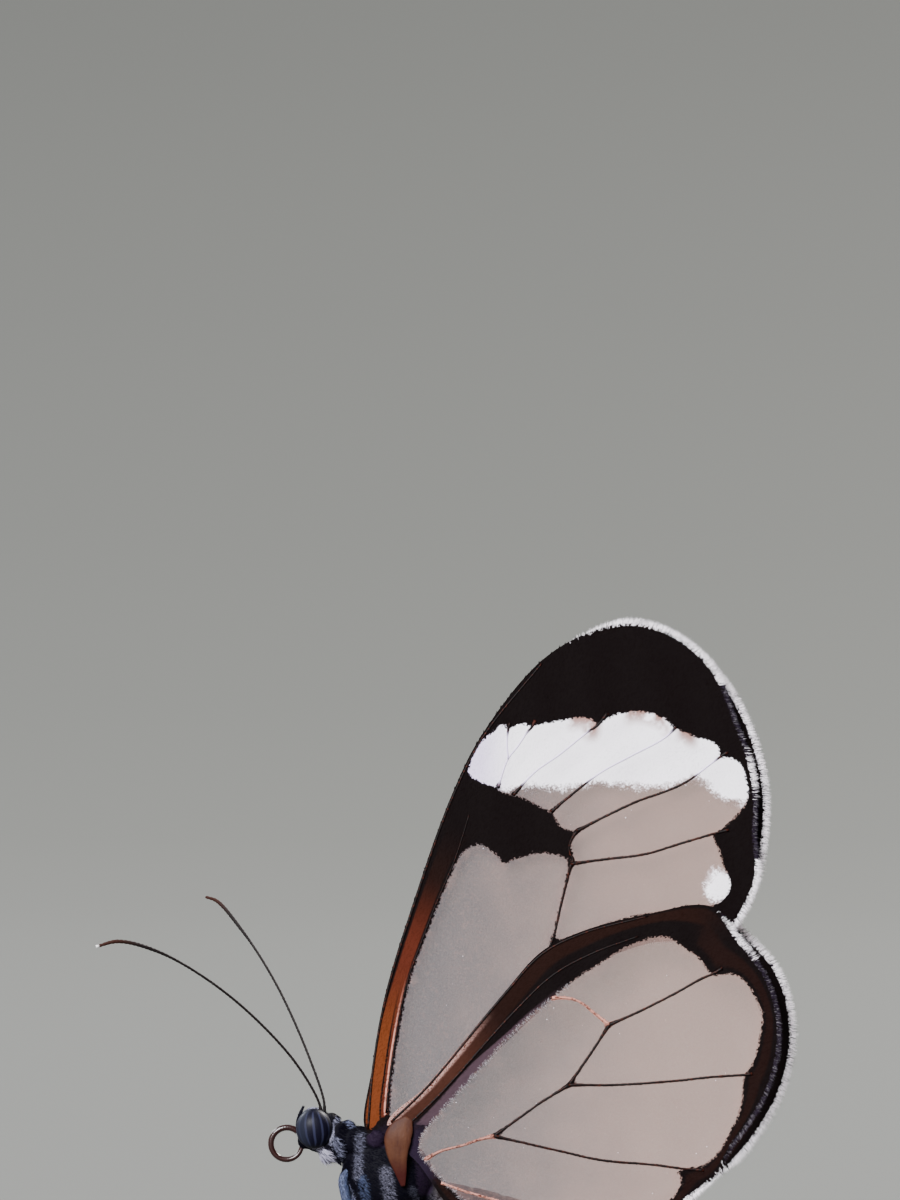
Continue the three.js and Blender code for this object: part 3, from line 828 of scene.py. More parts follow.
def root_hairs(wing, random):
    """Soft pale hairs that reach over the clear cell from the band along its front and from its root."""
    places = scatter_flat(wing, ROOT_HAIRS["density"], random)
    fields = wing.fields(places)
    front = fields["along"] < 12.0
    root = (places[:, 0] < 5.0) & (places[:, 1] < 0.8)
    kept = (np.abs(fields["window"] - 0.03) < 0.09) & (front | root)
    places = places[kept]
    fields = {name: values[kept] for name, values in fields.items()}
    step = 0.02
    beside = [wing.fields(places + offset)["window"] for offset in ((step, 0.0), (0.0, step))]
    slope = [fields["window"] - window for window in beside]
    inward = unit(np.column_stack(slope)) + 0.35 * random.normal(0, 1, places.shape)
    base = wing.on(places, fields, above=ROOT_HAIRS["above"])
    rise = wing.side * random.uniform(0.05, 0.3, len(base))
    direction = np.column_stack([inward[:, 0], rise, inward[:, 1]])
    length = random.uniform(*ROOT_HAIRS["length"], len(base))
    up = np.array([0, float(wing.side), 0])
    found, faces, _ = spikes(base, direction, up, length, ROOT_HAIRS["width"], ROOT_HAIRS["thick"])
    return found, faces, np.full(len(base), ROOT_HAIRS["tone"]), places


def fringe_finish():
    finish = Finish("fringe hairs", Roughness=0.6, Specular_IOR_Level=0.1)
    tone, tip = finish.mark("tone"), finish.mark("tip")
    pale = finish.step(tone, 0.18, 0.30)
    root = finish.blend("damson", "fringe", pale)
    finish.set("Base Color", finish.blend(root, "fringe", tip * 0.6 * pale + pale * 0.2))
    return finish


def horn_finish(name, colour, light, roughness):
    finish = Finish(name, Specular_IOR_Level=0.3)
    fine = finish.noise(finish.place(), 9.0, 3.0)
    finish.set("Base Color", finish.blend(colour, light, finish.step(fine, 0.45, 0.8)))
    finish.set("Roughness", roughness + (fine - 0.5) * 0.2)
    finish.bump(fine, 0.01)
    return finish


def vein_finish():
    finish = Finish("vein horn", Specular_IOR_Level=0.12, Roughness=0.5)
    fine = finish.noise(finish.place(), 9.0, 3.0)
    dark = finish.blend("dark", "rust", finish.step(fine, 0.5, 0.75))
    rosy = finish.blend("pink", "rust", finish.step(fine, 0.5, 0.62))
    colour = finish.blend(dark, rosy, finish.mark("pink"))
    finish.set("Base Color", finish.blend(colour, "lavender", finish.mark("pale")))
    finish.bump(fine, 0.01)
    return finish


def add_wings():
    fringe, veins = fringe_finish(), vein_finish()
    for number, (kind, name) in enumerate([(k, n) for k in ("fore", "hind") for n in SIDES]):
        random = np.random.default_rng(40 + number)
        wing = Wing(kind, name)
        add_sheet(wing, wing_finish(kind), random)
        add_veins(wing, veins)
        add_fringe(wing, fringe, random)
        add_scales(wing, scale_finish(kind), random)


# Body

BALLS = {
    "head": {"at": (-3.2, 0.1), "half": (0.86, 0.84, 0.92)},
    "crown": {"at": (-3.35, 0.95), "half": (0.46, 0.42, 0.34)},
    "brow": {"at": (-2.9, 0.72), "half": (0.45, 0.6, 0.42)},
    "nape": {"at": (-2.5, 0.7), "half": (0.42, 0.5, 0.42)},
    "face": {"at": (-3.72, -0.12), "half": (0.42, 0.48, 0.6)},
    "neck": {"at": (-2.5, -0.35), "half": (0.65, 0.66, 0.95)},
    "collar": {"at": (-1.95, -0.3), "half": (0.7, 0.86, 1.08)},
    "thorax": {"at": (0.35, -1.95), "half": (2.34, 1.59, 1.98)},
    "waist": {"at": (2.65, -2.95), "half": (0.9, 0.62, 0.66)},
}
SHOULDERS = {
    "patch": {"at": (-1.05, 0.6, -0.3), "half": (0.8, 0.55, 0.7)},
    "cap": {"at": (-0.25, 1.05, -0.15), "half": (0.42, 0.3, 0.52)},
}
BELLY = {
    "from": (2.75, -2.95), "length": 11.55, "rise": 0.5, "rings": 7, "crease": 0.06,
    "girth": [(0, 0.66), (0.16, 0.8), (0.4, 0.9), (0.68, 0.84), (0.9, 0.55), (0.985, 0.26), (1, 0.08)],
}
PALP = [
    (-3.7, 0.3, -0.35), (-4.02, 0.36, 0.0), (-4.14, 0.38, 0.55), (-4.06, 0.36, 1.0), (-3.88, 0.32, 1.42),
]
PALP_HALF = {"root": 0.15, "loss": 0.11}
EYE = {"at": (-3.34, 0.5, 0.35), "half": (0.9, 0.74, 1.0)}

HIPS = [(-1.15, 0.75, -3.25), (0.0, 0.85, -3.45), (1.2, 0.8, -3.6)]
HIP_HALF = (0.38, 0.3, 0.5)
MELT = {"voxel": 0.075, "turns": 6}

# Where the fur stands longer, and the sizes of its tufts
THROAT = {"route": [(-3.0, -0.8), (-2.3, -1.7)], "near": 0.25, "far": 0.6, "more": 0.45}
CREST = {"at": (-3.3, 1.25), "near": 0.3, "far": 0.6, "more": 0.2, "lean": 0.7}
TUFT = {"width": 0.045, "thick": 0.012, "deep": 0.02, "lie": (1.0, 0.0, -0.42), "stray": 0.28}
FUR_DENSITY = {"chest": 200, "belly": 80}
EYE_CLEARANCE = 0.05

# Pale markings, each a route as (back, up) with its half width and how blue it is
MARKINGS = [
    {"route": [(-1.1, 0.0), (-1.15, -1.0), (-1.2, -2.0)], "half": 0.25, "pale": 0.34, "blue": 0.3},
    {"route": [(-0.95, -2.1), (-0.85, -2.9), (-0.7, -3.8)], "half": 0.26, "pale": 0.4, "blue": 0.8},
    {"route": [(0.2, -1.75), (0.35, -2.7), (0.5, -3.9)], "half": 0.34, "pale": 0.34, "blue": 0.2},
    {"route": [(1.5, -2.6), (1.75, -3.2), (1.7, -4.0)], "half": 0.2, "pale": 0.14, "blue": 0.3},
    {"route": [(-2.3, -1.4), (-1.7, -2.45), (-1.4, -3.4)], "half": 0.13, "pale": 0.95, "blue": 0.5},
    {"route": [(-3.15, -0.6), (-2.85, -1.1), (-2.3, -1.8)], "half": 0.26, "pale": 1.8, "blue": 0.0},
    {"route": [(-2.33, 0.75), (-2.4, 0.2), (-2.55, -0.6)], "half": 0.08, "pale": 1.2, "blue": 0.3},
    {"route": [(-2.3, -0.2), (-2.15, -0.7), (-2.1, -1.4)], "half": 0.2, "pale": 0.5, "blue": 0.4},
    {"route": [(-1.72, 0.66), (-1.62, 0.5)], "half": 0.15, "pale": 0.8, "blue": 0.6},
    {"route": [(-1.75, 1.1), (-1.45, 0.95)], "half": 0.14, "pale": 0.3, "blue": 0.5},
    {"route": [(-1.0, 0.62), (-0.85, 0.5)], "half": 0.1, "pale": 0.7, "blue": 0.4},
    {"route": [(-3.75, 1.2), (-3.3, 1.35)], "half": 0.22, "pale": 1.2, "blue": 0.2},
    {"route": [(-2.27, 0.92), (-2.2, 0.88)], "half": 0.07, "pale": 0.8, "blue": 0.4},
]
PLUM_FUZZ = {"route": [(-0.3, -0.1), (1.2, -0.2), (1.8, -0.7), (2.1, -1.4), (2.2, -2.6)], "half": 0.5}


def ball(at, half, tilt=TILT, sides=40, rows=24, side=0.0):
    """An ellipsoid turned with the body, as rings from its front to its back."""
    places, faces = [], []
    for row in range(1, rows):
        turn = math.pi * row / rows
        for step in range(sides):
            angle = 2 * math.pi * step / sides
            ring = math.sin(turn)
            across, up = half[1] * ring * math.cos(angle), half[2] * ring * math.sin(angle)
            places.append((-half[0] * math.cos(turn), across, up))
    places += [(-half[0], 0.0, 0.0), (half[0], 0.0, 0.0)]
    for row in range(rows - 2):
        for step in range(sides):
            a, b = row * sides + step, row * sides + (step + 1) % sides
            faces.append((a, b, b + sides, a + sides))
    front, back = len(places) - 2, len(places) - 1
    for step in range(sides):
        after = (step + 1) % sides
        faces.append((after, step, front))
        faces.append(((rows - 2) * sides + step, (rows - 2) * sides + after, back))
    places = np.array(places)
    x, z = places[:, 0].copy(), places[:, 2].copy()
    places[:, 0] = x * math.cos(tilt) + z * math.sin(tilt) + at[0]
    places[:, 2] = z * math.cos(tilt) - x * math.sin(tilt) + at[-1]
    places[:, 1] += side
    return places, faces


def belly_line(count=120):
    start = np.array([BELLY["from"][0], 0.0, BELLY["from"][1]])
    end = start + AXIS * BELLY["length"]
    share = np.linspace(0, 1, count)
    line = start + (end - start) * share[:, None]
    line[:, 2] += BELLY["rise"] * 4 * share * (1 - share)
    return line, share


def belly_girth(share):
    at, girth = np.array(BELLY["girth"]).T
    ring = np.abs(((share * BELLY["rings"]) % 1.0) - 0.02)
    crease = BELLY["crease"] * np.exp(-((np.minimum(ring, 1 - ring)) / 0.09) ** 2)
    return np.interp(share, at, girth) - crease * (share > 0.05) * (share < 0.97)


def melted(parts, voxel, turns):
    """The parts as one closed skin without seams, its edges and corners softened."""
    places, faces, _ = joined(parts)
    mesh = bpy.data.meshes.new("rough")
    mesh.from_pydata(places.tolist(), [], faces)
    rough = bpy.data.objects.new("rough", mesh)
    bpy.context.scene.collection.objects.link(rough)
    melt = rough.modifiers.new("melt", "REMESH")
    melt.mode = "VOXEL"
    melt.voxel_size = voxel
    soften = rough.modifiers.new("soften", "SMOOTH")
    soften.iterations = turns
    found = bpy.data.meshes.new_from_object(rough.evaluated_get(bpy.context.evaluated_depsgraph_get()))
    corners = np.empty(3 * len(found.vertices))
    found.vertices.foreach_get("co", corners)
    normals = np.empty(3 * len(found.vertices))
    found.vertex_normals.foreach_get("vector", normals)
    loops = np.empty(len(found.loops), dtype=int)
    found.loops.foreach_get("vertex_index", loops)
    starts = np.empty(len(found.polygons), dtype=int)
    found.polygons.foreach_get("loop_start", starts)
    faces = np.split(loops, starts[1:])
    bpy.data.objects.remove(rough)
    return corners.reshape(-1, 3), normals.reshape(-1, 3), faces


def body_marks(places):
    """How pale and how blue the body's scales are at each place."""
    flat = places[:, [0, 2]]
    grain = np.sin(places @ (31.0, 17.0, 23.0)) * np.sin(places @ (-13.0, 29.0, 19.0)) * 0.05
    pale, blue = np.zeros(len(places)), np.zeros(len(places))
    for marking in MARKINGS:
        away, _ = nearest(flat, smooth(marking["route"], 0.2))
        share = (1 - ease(away + grain, marking["half"] * 0.6, marking["half"] * 1.25)) * marking["pale"]
        blue = np.where(share > pale, marking["blue"], blue)
        pale = np.maximum(pale, share)
    line, _ = belly_line(40)
    away, at = nearest(flat, line[:, [0, 2]])
    behind = ease(places[:, 0], 2.2, 3.6)
    under = flat[:, 1] - (line[0, 2] - (places[:, 0] - line[0, 0]) * math.tan(TILT))
    lower = (1 - ease(under + grain, -0.25, 0.2)) * behind
    ring = np.abs((at / BELLY["length"] * BELLY["rings"]) % 1.0 - 0.5) * 2
    hem = ease(ring, 0.86, 0.97) * behind * 0.3
    pale = np.maximum(pale, lower * 0.5 + hem * (1 - lower))
    away, _ = nearest(flat, np.array(PLUM_FUZZ["route"]))
    plum = 1 - ease(away, PLUM_FUZZ["half"] * 0.6, PLUM_FUZZ["half"])
    return {"pale": pale * (1 - plum), "blue": blue, "warm": behind * (1 - lower), "plum": plum}


def body_map(places):
    along = (places[:, 0] + 4.4) / 18.5
    middle = np.interp(places[:, 0], [-3.2, -1.95, 0.35, 2.75, 13.5], [0.1, -0.45, -1.95, -2.95, -7.3])
    around = np.arctan2(places[:, 1], places[:, 2] - middle) / (2 * math.pi) + 0.5
    return 0.02 + 0.96 * np.column_stack([np.clip(along, 0, 1), around])


def body_tones(finish, share):
    """The body's colour, from its markings, with share as how pale the palest scales stand out."""
    pale, blue = finish.mark("pale"), finish.mark("blue")
    warm, plum = finish.mark("warm"), finish.mark("plum")
    dark = finish.blend("black", "bark", warm)
    dark = finish.blend(dark, "damson", plum)
    light = finish.blend("silver", "steel", blue)
    light = finish.blend(light, "cream", warm)
    return finish.blend(dark, light, pale * share)


def skin_finish():
    finish = Finish("body skin", Roughness=0.7, Specular_IOR_Level=0.08)
    here = finish.place()
    flecks = finish.cells(here, 14.0)
    finish.set("Base Color", body_tones(finish, flecks * 0.7))
    finish.bump(flecks + finish.noise(here, 10.0) * 0.6, 0.02)
    return finish


def add_brush(name, line, radius, fur, random, hairs, tones):
    """A bar's own coat of short hairs, that lie towards its tip."""
    count = hairs["count"]
    share = np.linspace(0, 1, len(line))
    pick = random.integers(0, len(line) - 1, count)
    ahead = unit(np.gradient(line, axis=0))[pick]
    out = random.normal(0, 1, (count, 3))
    out = unit(out - ahead * (out * ahead).sum(1, keepdims=True))
    roots = line[pick] + out * radius[pick, None] * 0.93
    length = random.uniform(*hairs["length"], count)
    places, faces, per = spikes(roots, ahead + hairs["lean"] * out, out, length, hairs["width"], 0.011)
    marks = {mark: np.repeat(values, per) for mark, values in tones(out).items()}
    marks["tone"] = np.repeat(random.uniform(-0.5, 0.5, count), per)
    around = np.arctan2(out[:, 1], out[:, 2]) / (2 * math.pi) + 0.5
    spot = 0.02 + 0.96 * np.column_stack([share[pick], around])
    uv = patch_map(spot, per)
    add_piece(name, places, faces, fur, marks=marks, uv=uv, smooth_shaded=False)


def add_palps(fur, random):
    """The two brushes that stand up before the face."""
    hairs = {"count": 420, "length": (0.1, 0.17), "width": 0.035, "lean": 0.16}

    def tones(out):
        return {"pale": np.full(len(out), 0.04), "blue": np.full(len(out), 0.5)}

    for name, side in SIDES.items():
        line = smooth(np.array(PALP) * (1, side, 1), 0.1)
        radius = PALP_HALF["root"] - PALP_HALF["loss"] * np.linspace(0, 1, len(line)) ** 1.5
        places, faces = tube(line, radius, 12)
        marks = tones(places)
        add_piece(f"palp_{name}", places, faces, fur, marks=marks)
        add_brush(f"palp_{name}_fur", line, radius, fur, random, hairs, tones)


def in_eye(places, grow):
    found = np.zeros(len(places), bool)
    for side in SIDES.values():
        centre = np.array(EYE["at"]) * (1, side, 1)
        found |= (((places - centre) / (np.array(EYE["half"]) + grow)) ** 2).sum(1) < 1
    return found


def skin_roots(places, normals, faces, density, random):
    """Random places over the skin, with their normals, so many to each square millimetre."""
    corners = np.array([face[:3] for face in faces] + [np.roll(face, -2)[:3] for face in faces])
    a, b, c = places[corners[:, 0]], places[corners[:, 1]], places[corners[:, 2]]
    area = 0.5 * np.linalg.norm(np.cross(b - a, c - a), axis=1)
    wanted = area * density(a)
    count = np.floor(wanted + random.uniform(0, 1, len(wanted))).astype(int)
    pick = np.repeat(np.arange(len(corners)), count)
    u, v = random.uniform(0, 1, (2, len(pick)))
    flip = u + v > 1
    u, v = np.where(flip, 1 - u, u)[:, None], np.where(flip, 1 - v, v)[:, None]
    roots = a[pick] * (1 - u - v) + b[pick] * u + c[pick] * v
    one, two, three = (normals[corners[pick, i]] for i in range(3))
    return roots, unit(one * (1 - u - v) + two * u + three * v)


def fur_density(places):
    behind = ease(places[:, 0], 2.6, 3.8)
    before = 1 - ease(places[:, 0], -2.4, -1.4)
    return FUR_DENSITY["chest"] * (1 - behind) * (1 + 0.8 * before) + FUR_DENSITY["belly"] * behind


def on_crest(places):
    away = np.hypot(places[:, 0] - CREST["at"][0], places[:, 2] - CREST["at"][1])
    return 1 - ease(away, CREST["near"], CREST["far"])


def head_length(places):
    away, _ = nearest(places[:, [0, 2]], np.array(THROAT["route"]))
    throat = 1 - ease(away, THROAT["near"], THROAT["far"])
    return 0.13 + THROAT["more"] * throat + CREST["more"] * on_crest(places)


def chest_length(places):
    ruff = 1 - ease(places[:, 0], -2.0, -0.8)
    return 0.2 + 0.12 * ruff + 0.12 * (1 - ease(places[:, 2], -4.2, -3.0))


def belly_length(places):
    return 0.16 + 0.1 * ease(places[:, 0], 12.0, 13.3)


# Each coat's first and last place along the body, how long its tufts are and how far they stand up
COATS = {
    "head_fur": (-9.0, -2.3, head_length, 0.3),
    "chest_fur": (-2.3, 3.2, chest_length, 0.25),
    "belly_fur": (3.2, 20.0, belly_length, 0.14),
}


def add_fur(name, roots, normals, finish, random, length, lean):
    picked = ~in_eye(roots, EYE_CLEARANCE)
    roots, normals = roots[picked], normals[picked]
    lie = np.array(TUFT["lie"]) + TUFT["stray"] * random.normal(0, 1, roots.shape)
    lie = unit(lie - normals * (lie * normals).sum(1, keepdims=True))
    reach = length(roots) * random.uniform(0.7, 1.25, len(roots))
    lean = (lean + CREST["lean"] * on_crest(roots))[:, None]
    places, faces, per = spikes(
        roots - TUFT["deep"] * normals, lie + lean * normals, normals, reach, TUFT["width"],
        TUFT["thick"], bend=-0.35 * lean * normals,
    )
    marks = {key: np.repeat(value, per) for key, value in body_marks(roots).items()}
    marks["tip"] = np.tile([0.0] * 3 + [0.5] * 3 + [1.0], len(roots))
    marks["tone"] = np.repeat(random.uniform(-0.5, 0.5, len(roots)), per)
    add_piece(
        name, places, faces, finish, marks=marks,
        uv=patch_map(body_map(roots), per), smooth_shaded=False,
    )


def fur_finish():
    finish = Finish("body fur", Roughness=0.7, Specular_IOR_Level=0.03)
    tip, tone = finish.mark("tip"), finish.mark("tone")
    finish.set("Base Color", body_tones(finish, 0.35 + tip * 0.3 + tone * 1.3))
    return finish


def add_body():
    random = np.random.default_rng(7)
    parts = [ball(**shape) for shape in BALLS.values()]
    line, share = belly_line()
    parts.append(tube(line, belly_girth(share), 28))
    for side in SIDES.values():
        for shape in SHOULDERS.values():
            back, out, up = shape["at"]
            parts.append(ball((back, up), shape["half"], side=side * out))
        for back, out, up in HIPS:
            parts.append(ball((back, up), HIP_HALF, side=side * out))
    places, normals, faces = melted(parts, MELT["voxel"], MELT["turns"])
    add_piece(
        "body_skin", places, faces, skin_finish(),
        nodes=("head", "collar", "thorax", "abdomen"), marks=body_marks(places),
    )
    roots, normals = skin_roots(places, normals, faces, fur_density, random)
    finish = fur_finish()
    add_palps(finish, random)
    for name, (front, back, length, lean) in COATS.items():
        inner = (roots[:, 0] >= front) & (roots[:, 0] < back)
        add_fur(name, roots[inner], normals[inner], finish, random, length, lean)


def eye_finish():
    shine = {"Coat_Weight": 0.05, "Coat_Roughness": 0.3, "Specular_IOR_Level": 0.08}
    finish = Finish("eye", Roughness=0.55, **shine)
    turn, rise = finish.mark("turn"), finish.mark("rise")
    here = finish.place()
    facets = finish.node("TexVoronoi", {}, {"Vector": here, "Scale": 24.0})
    phase = turn * 13.5 + finish.noise(here, 1.3) * 1.6 + 0.4
    wave = finish.node("Math", {"operation": "SINE"}, {0: phase})
    stripe = finish.step(wave, 0.3, 0.95) * (1 - finish.step(rise * rise, 0.5, 0.9))
    banded = finish.blend("eye", "eye_stripe", stripe)
    front = 1 - finish.step(turn, -0.75, -0.15)
    finish.set("Base Color", finish.blend(banded, "eye_front", front * 0.7))
    finish.bump(facets, 0.004)
    return finish


def add_eyes():
    finish = eye_finish()
    for name, side in SIDES.items():
        places, faces = ball((0.0, 0.0), (1.0, 1.0, 1.0), tilt=0.0, sides=64, rows=40)
        turn = np.arctan2(places[:, 0], np.maximum(side * places[:, 1], 1e-6) + 0.05)
        marks = {"turn": turn + places[:, 2] * 0.16, "rise": places[:, 2]}
        centre = np.array(EYE["at"]) * (1, side, 1)
        add_piece(
            f"eye_{name}", places * EYE["half"] + centre, faces, finish,
            nodes=(f"eye_{name}",), marks=marks,
        )


# Feelers, tongue and legs

FEELERS = {
    "left": [
        (-3.0, -0.36, 0.9), (-3.06, -0.42, 1.55), (-4.25, -0.8, 3.65), (-6.55, -1.7, 6.2),
        (-8.9, -2.6, 8.1), (-11.1, -3.4, 9.35), (-12.95, -3.95, 9.85), (-14.06, -4.2, 9.6),
    ],
    "right": [
        (-2.86, 0.36, 0.9), (-2.85, 0.42, 1.6), (-3.6, 1.1, 3.8), (-4.95, 2.6, 6.75),
        (-6.05, 4.0, 8.6), (-7.1, 5.1, 10.05), (-8.35, 6.1, 11.45), (-8.95, 6.5, 11.66),
    ],
}
TONGUE = {"at": (-4.7, -0.43), "radius": 0.8, "half": 0.145, "from": 48, "to": 372}
LEGS = {
    "mid": [(0.0, 0.85, -3.6), (-1.7, 3.7, -4.3), (-2.9, 5.5, -8.95), (-4.9, 7.2)],
    "hind": [(1.2, 0.8, -3.75), (3.7, 4.0, -4.5), (7.6, 5.6, -8.95), (11.0, 6.9)],
}
FORE_LEG = [
    (-1.4, 0.45, -1.5), (-1.86, 0.72, -2.1), (-1.75, 0.9, -3.0), (-1.5, 0.95, -4.15),
    (-2.35, 0.85, -5.6), (-3.0, 0.7, -6.1),
]
FORE_LEG_HALF = 0.25
LEG = {"femur": 0.19, "tibia": 0.13, "tarsus": 0.1, "claw": (0.035, 0.028, 0.008), "joints": 5}
SPINE = {"root": 0.018, "tip": 0.004, "shin": 0.2, "foot": 0.13}
FEELER = {"half": 0.066, "club": 0.03, "root": 0.06, "ring": 0.10, "step": 0.055}


def add_feelers():
    finish = Finish("feeler horn", Roughness=0.6, Specular_IOR_Level=0.12)
    far = finish.mark("share")
    tan = finish.blend("horn", "feeler_tip", finish.step(far, 0.84, 0.96))
    finish.set("Base Color", finish.blend(tan, "feeler_end", finish.step(far, 0.988, 0.996)))
    finish.bump(finish.noise(finish.place(), 14.0), 0.01)
    for name, route in FEELERS.items():
        line = smooth(route, FEELER["step"])
        share = np.linspace(0, 1, len(line))
        club = ease(share, 0.7, 0.86) * (1 - ease(share, 0.93, 1.0) * 0.8)
        ring = 1 + FEELER["ring"] * np.sin(np.arange(len(line)) * math.pi / 2)
        root = 1 - ease(share, 0.0, 0.05)
        radius = (FEELER["half"] + FEELER["club"] * club + FEELER["root"] * root) * ring
        places, faces = tube(line, radius, 10)
        if name == "right":
            share = share * 0.98
        marks = {"share": np.append(np.repeat(share, 10), share[[0, -1]])}
        node = f"antenna_{name}"
        add_piece(node, places, faces, finish, nodes=(node,), marks=marks)


def add_tongue():
    shine = {"Coat_Weight": 0.6, "Coat_Roughness": 0.12, "Specular_IOR_Level": 0.2}
    finish = Finish("tongue", Roughness=0.3, **shine)
    fine = finish.noise(finish.place(), 12.0)
    finish.set("Base Color", finish.blend("tongue", "tongue_light", fine))
    angles = np.radians(np.arange(TONGUE["from"], TONGUE["to"], 3.0))
    spiral = TONGUE["radius"] - 0.05 * ease(angles, 4.5, 6.5)
    back = TONGUE["at"][0] + spiral * np.cos(angles)
    up = TONGUE["at"][1] + spiral * np.sin(angles)
    line = np.column_stack([back, np.zeros(len(angles)), up])
    share = np.linspace(0, 1, len(line))
    ring = 1 + 0.035 * np.sin(np.arange(len(line)) * 2.1)
    places, faces = tube(line, TONGUE["half"] * (1.05 - 0.35 * share ** 3) * ring, 14)
    add_piece("proboscis", places, faces, finish, nodes=("proboscis",))


def spines(line, radius, every, length, random):
    """Short stiff hairs that stand off a leg's upper side, pointing to its foot."""
    bars = []
    for i in range(2, len(line) - 2, every):
        ahead = unit(line[i + 1] - line[i - 1])
        out = random.normal(0, 1, 3)
        out[2] = abs(out[2]) + 0.3
        out = unit(out - ahead * (out @ ahead))
        root = line[i] + out * radius * 0.8
        tip = root + (ahead * 0.75 + out * 0.66) * length
        bars.append(tube([root, tip], [SPINE["root"], SPINE["tip"]], 4))
    return bars


def add_legs():
    random = np.random.default_rng(21)
    finish = horn_finish("leg scales", "leg", "leg_light", 0.55)
    floor = -HINGE[2]
    for pair, joints in LEGS.items():
        for name, side in SIDES.items():
            hip, knee, ankle = (np.array(joint) * (1, side, 1) for joint in joints[:3])
            toe = np.array([joints[3][0], side * joints[3][1], floor + LEG["tarsus"] * 0.75])
            heel = np.array([*ankle[:2], floor + LEG["tarsus"]]) + 0.25 * unit(toe - ankle) * (1, 1, 0)
            femur = smooth([hip, (hip + knee) / 2 + (0, 0, 0.12), knee], 0.15)
            shin = smooth([knee, (knee + ankle) / 2, ankle], 0.15)
            foot = smooth([ankle, heel, (heel + toe) / 2, toe], 0.08)
            foot[:, 2] = np.maximum(foot[:, 2], floor + LEG["tarsus"])
            t = np.linspace(0, 1, len(femur))
            swell = (0.75 + 0.4 * np.sin(math.pi * t ** 0.7)) * (1 - 0.25 * t)
            bars = [tube(femur, LEG["femur"] * swell, 12)]
            t = np.linspace(0, 1, len(shin))
            bars.append(tube(shin, LEG["tibia"] * (1.0 - 0.2 * t + 0.2 * ease(t, 0.9, 1.0)), 10))
            t = np.linspace(0, 1, len(foot))
            lobes = 1 - 0.28 * np.exp(-(((t * LEG["joints"]) % 1.0) / 0.16) ** 2)
            bars.append(tube(foot, LEG["tarsus"] * lobes * (1 - 0.25 * t), 10))
            for turn in (-1, 1):
                ahead = unit((toe - heel) * (1, 1, 0))
                across = np.array([-ahead[1], ahead[0], 0.0]) * turn
                bent = toe + ahead * 0.12 + across * 0.06
                tip = toe + ahead * 0.2 + across * 0.09 - (0, 0, 0.045)
                bars.append(tube([toe, bent, tip], LEG["claw"], 6))
            bars += spines(shin, LEG["tibia"], 3, SPINE["shin"], random)
            bars += spines(foot, LEG["tarsus"], 4, SPINE["foot"], random)
            places, faces, _ = joined(bars)
            nodes = [f"{pair}_{piece}_{name}" for piece in ("femur", "tibia", "tarsus")]
            add_piece(f"{pair}_leg_{name}", places, faces, finish, nodes=nodes)


def add_fore_legs(fur):
    random = np.random.default_rng(5)
    finish = horn_finish("fore leg", "fore_leg", "fore_leg_light", 0.7)
    hairs = {"count": 900, "length": (0.12, 0.2), "width": 0.04, "lean": 0.25}

    def tones(out):
        edge = ease(-out[:, 0], -0.2, 0.9)
        return {"pale": 0.45 + 0.4 * edge, "blue": 0.9 - 0.5 * edge}

    for name, side in SIDES.items():
        line = smooth(np.array(FORE_LEG) * (1, side, 1), 0.1)
        t = np.linspace(0, 1, len(line))
        radius = FORE_LEG_HALF * (1 - 0.75 * ease(t, 0.4, 1.0)) * (0.5 + 0.5 * ease(t, 0.0, 0.2))
        places, faces = tube(line, radius, 12)
        node = f"fore_leg_{name}"
        add_piece(node, places, faces, finish, nodes=(node,))
        add_brush(f"{node}_fur", line, radius, fur, random, hairs, tones)


FUNNEL = {
    "route": [
        (1.42, 1.71, 0.95), (1.12, 1.74, 0.5), (0.88, 1.78, 0.05), (0.82, 1.78, -0.5),
        (0.86, 1.77, -1.05), (0.98, 1.72, -1.65), (1.12, 1.62, -2.45),
    ],
    "girth": [0.2, 0.58, 0.68, 0.57, 0.42, 0.27, 0.1],
    "sides": 20,
    "flat": 0.2,
}


def add_funnels():
    """The amber funnels that hold the hindwings to the chest."""
    finish = Finish("wing joint", Roughness=0.55, Specular_IOR_Level=0.1)
    here, low, rim = finish.place(), finish.mark("low"), finish.mark("rim")
    streaks = finish.noise(finish.place((1.0, 1.0, 0.3)), 2.6, 3.0)
    amber = finish.blend("copper", "tawny", finish.step(streaks, 0.3, 0.62))
    amber = finish.blend(amber, "copper", rim * 0.7)
    finish.set("Base Color", finish.blend(amber, "ember", low))
    finish.bump(streaks + finish.noise(here, 6.0) * 0.4, 0.03)
    sides = FUNNEL["sides"]
    along = np.linspace(0, 1, len(FUNNEL["girth"]))
    girth = smooth(np.column_stack([along, FUNNEL["girth"]]), 0.02)
    for name, side in SIDES.items():
        line = smooth(np.array(FUNNEL["route"]) * (1, side, 1), 0.08)
        t = np.linspace(0, 1, len(line))
        places, faces = tube(line, np.interp(t, *girth.T), sides, FUNNEL["flat"])
        around = np.abs(np.cos(np.linspace(0, 2 * math.pi, sides, endpoint=False)))
        marks = {
            "low": np.append(np.repeat(ease(t, 0.55, 0.85), sides), [0.0, 1.0]),
            "rim": np.append(np.tile(ease(around, 0.75, 0.97), len(line)), [0.0, 1.0]),
        }
        add_piece(f"wing_joint_{name}", places, faces, finish, marks=marks)


# Stage

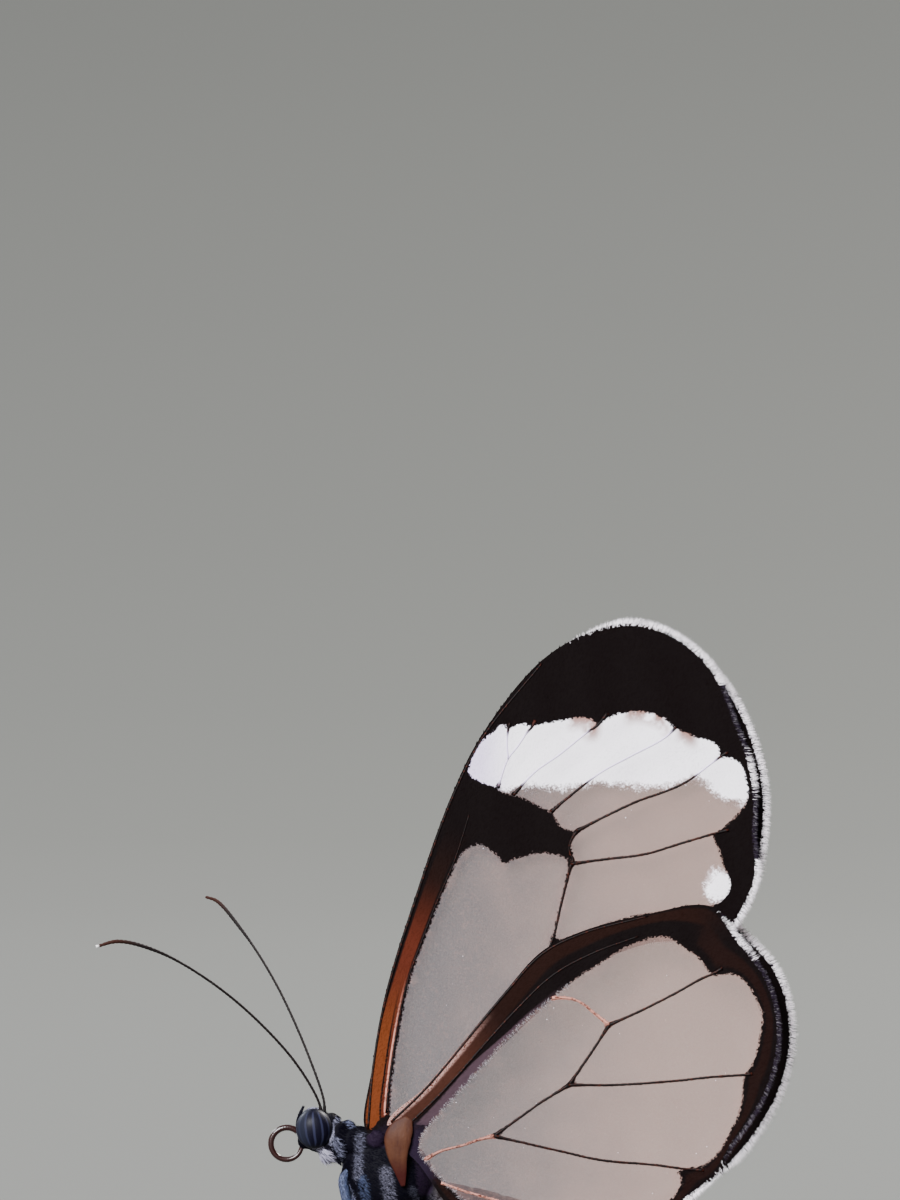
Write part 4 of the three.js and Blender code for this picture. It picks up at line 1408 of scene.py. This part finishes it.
# Metres, as are the lamps' places
BOWL = {"floor": 0.55, "radius": 1.5, "height": 1.1, "sides": 96}
LAMPS = {
    "front_softbox": {"at": (-0.45, -0.95, 0.62), "size": 0.55, "watts": 54.0, "tint": (0.96, 0.98, 1.0)},
    "rim_softbox": {"at": (0.55, 0.62, 0.72), "size": 0.30, "watts": 30.0, "tint": (1.0, 0.97, 0.92)},
    "rear_softbox": {"at": (-0.62, 0.66, 0.55), "size": 0.30, "watts": 10.0, "tint": (0.9, 0.95, 1.0)},
}
LAMPS_AIM = (0.0, 0.0, 0.02)
AIR = {"tint": (0.86, 0.88, 0.92, 1.0), "strength": 0.45}


def add_stage():
    """A pale bowl: a flat floor that rises softly all round, well beyond every camera."""
    floor, radius, height, sides = BOWL.values()
    profile = [(0.0, 0.0)]
    profile += [(floor * i / 6, 0.0) for i in range(1, 7)]
    turns = [math.radians(90) * i / 16 for i in range(1, 17)]
    profile += [(floor + (radius - floor) * math.sin(t), height * (1 - math.cos(t))) for t in turns]
    places = [(0.0, 0.0, 0.0)]
    for out, up in profile[1:]:
        for side in range(sides):
            angle = 2 * math.pi * side / sides
            places.append((out * math.cos(angle), out * math.sin(angle), up))
    faces = [(0, 1 + side, 1 + (side + 1) % sides) for side in range(sides)]
    for ring in range(len(profile) - 2):
        for side in range(sides):
            a, b = 1 + ring * sides + side, 1 + ring * sides + (side + 1) % sides
            faces.append((a, a + sides, b + sides, b))
    mesh = bpy.data.meshes.new("studio_floor")
    mesh.from_pydata(places, [], faces)
    mesh.shade_smooth()
    finish = Finish("studio floor", Roughness=0.9)
    soft = finish.noise(finish.node("TexCoord", {}, {}, "Object"), 1.4, 1.0)
    finish.set("Base Color", finish.blend("floor", "floor_light", soft))
    mesh.materials.append(finish.material)
    bowl = bpy.data.objects.new("studio_floor", mesh)
    bpy.context.scene.collection.objects.link(bowl)


def add_lights():
    world = bpy.data.worlds.new("studio air")
    world.use_nodes = True
    world.node_tree.nodes["Background"].inputs["Color"].default_value = AIR["tint"]
    world.node_tree.nodes["Background"].inputs["Strength"].default_value = AIR["strength"]
    bpy.context.scene.world = world
    for name, lamp in LAMPS.items():
        data = bpy.data.lights.new(name, "AREA")
        data.size = lamp["size"]
        data.energy = lamp["watts"]
        data.color = lamp["tint"]
        light = bpy.data.objects.new(name, data)
        light.location = lamp["at"]
        ahead = Vector(LAMPS_AIM) - Vector(lamp["at"])
        light.rotation_euler = ahead.to_track_quat("-Z", "Y").to_euler()
        bpy.context.scene.collection.objects.link(light)


def add_camera():
    """Level with the wings and square to them, framed as the photo is."""
    data = bpy.data.cameras.new("photo_camera")
    data.sensor_width = LENS["sensor"]
    data.lens = LENS["length"]
    camera = bpy.data.objects.new("photo_camera", data)
    camera.location = (np.array([AIM[0], -CAMERA_AWAY, AIM[1]]) + HINGE) * MM
    camera.rotation_euler = (math.radians(90), 0.0, 0.0)
    bpy.context.scene.collection.objects.link(camera)
    bpy.context.scene.camera = camera


add_wings()
add_body()
add_eyes()
add_feelers()
add_tongue()
add_legs()
add_fore_legs(fur_finish())
add_funnels()
add_stage()
add_lights()
add_camera()
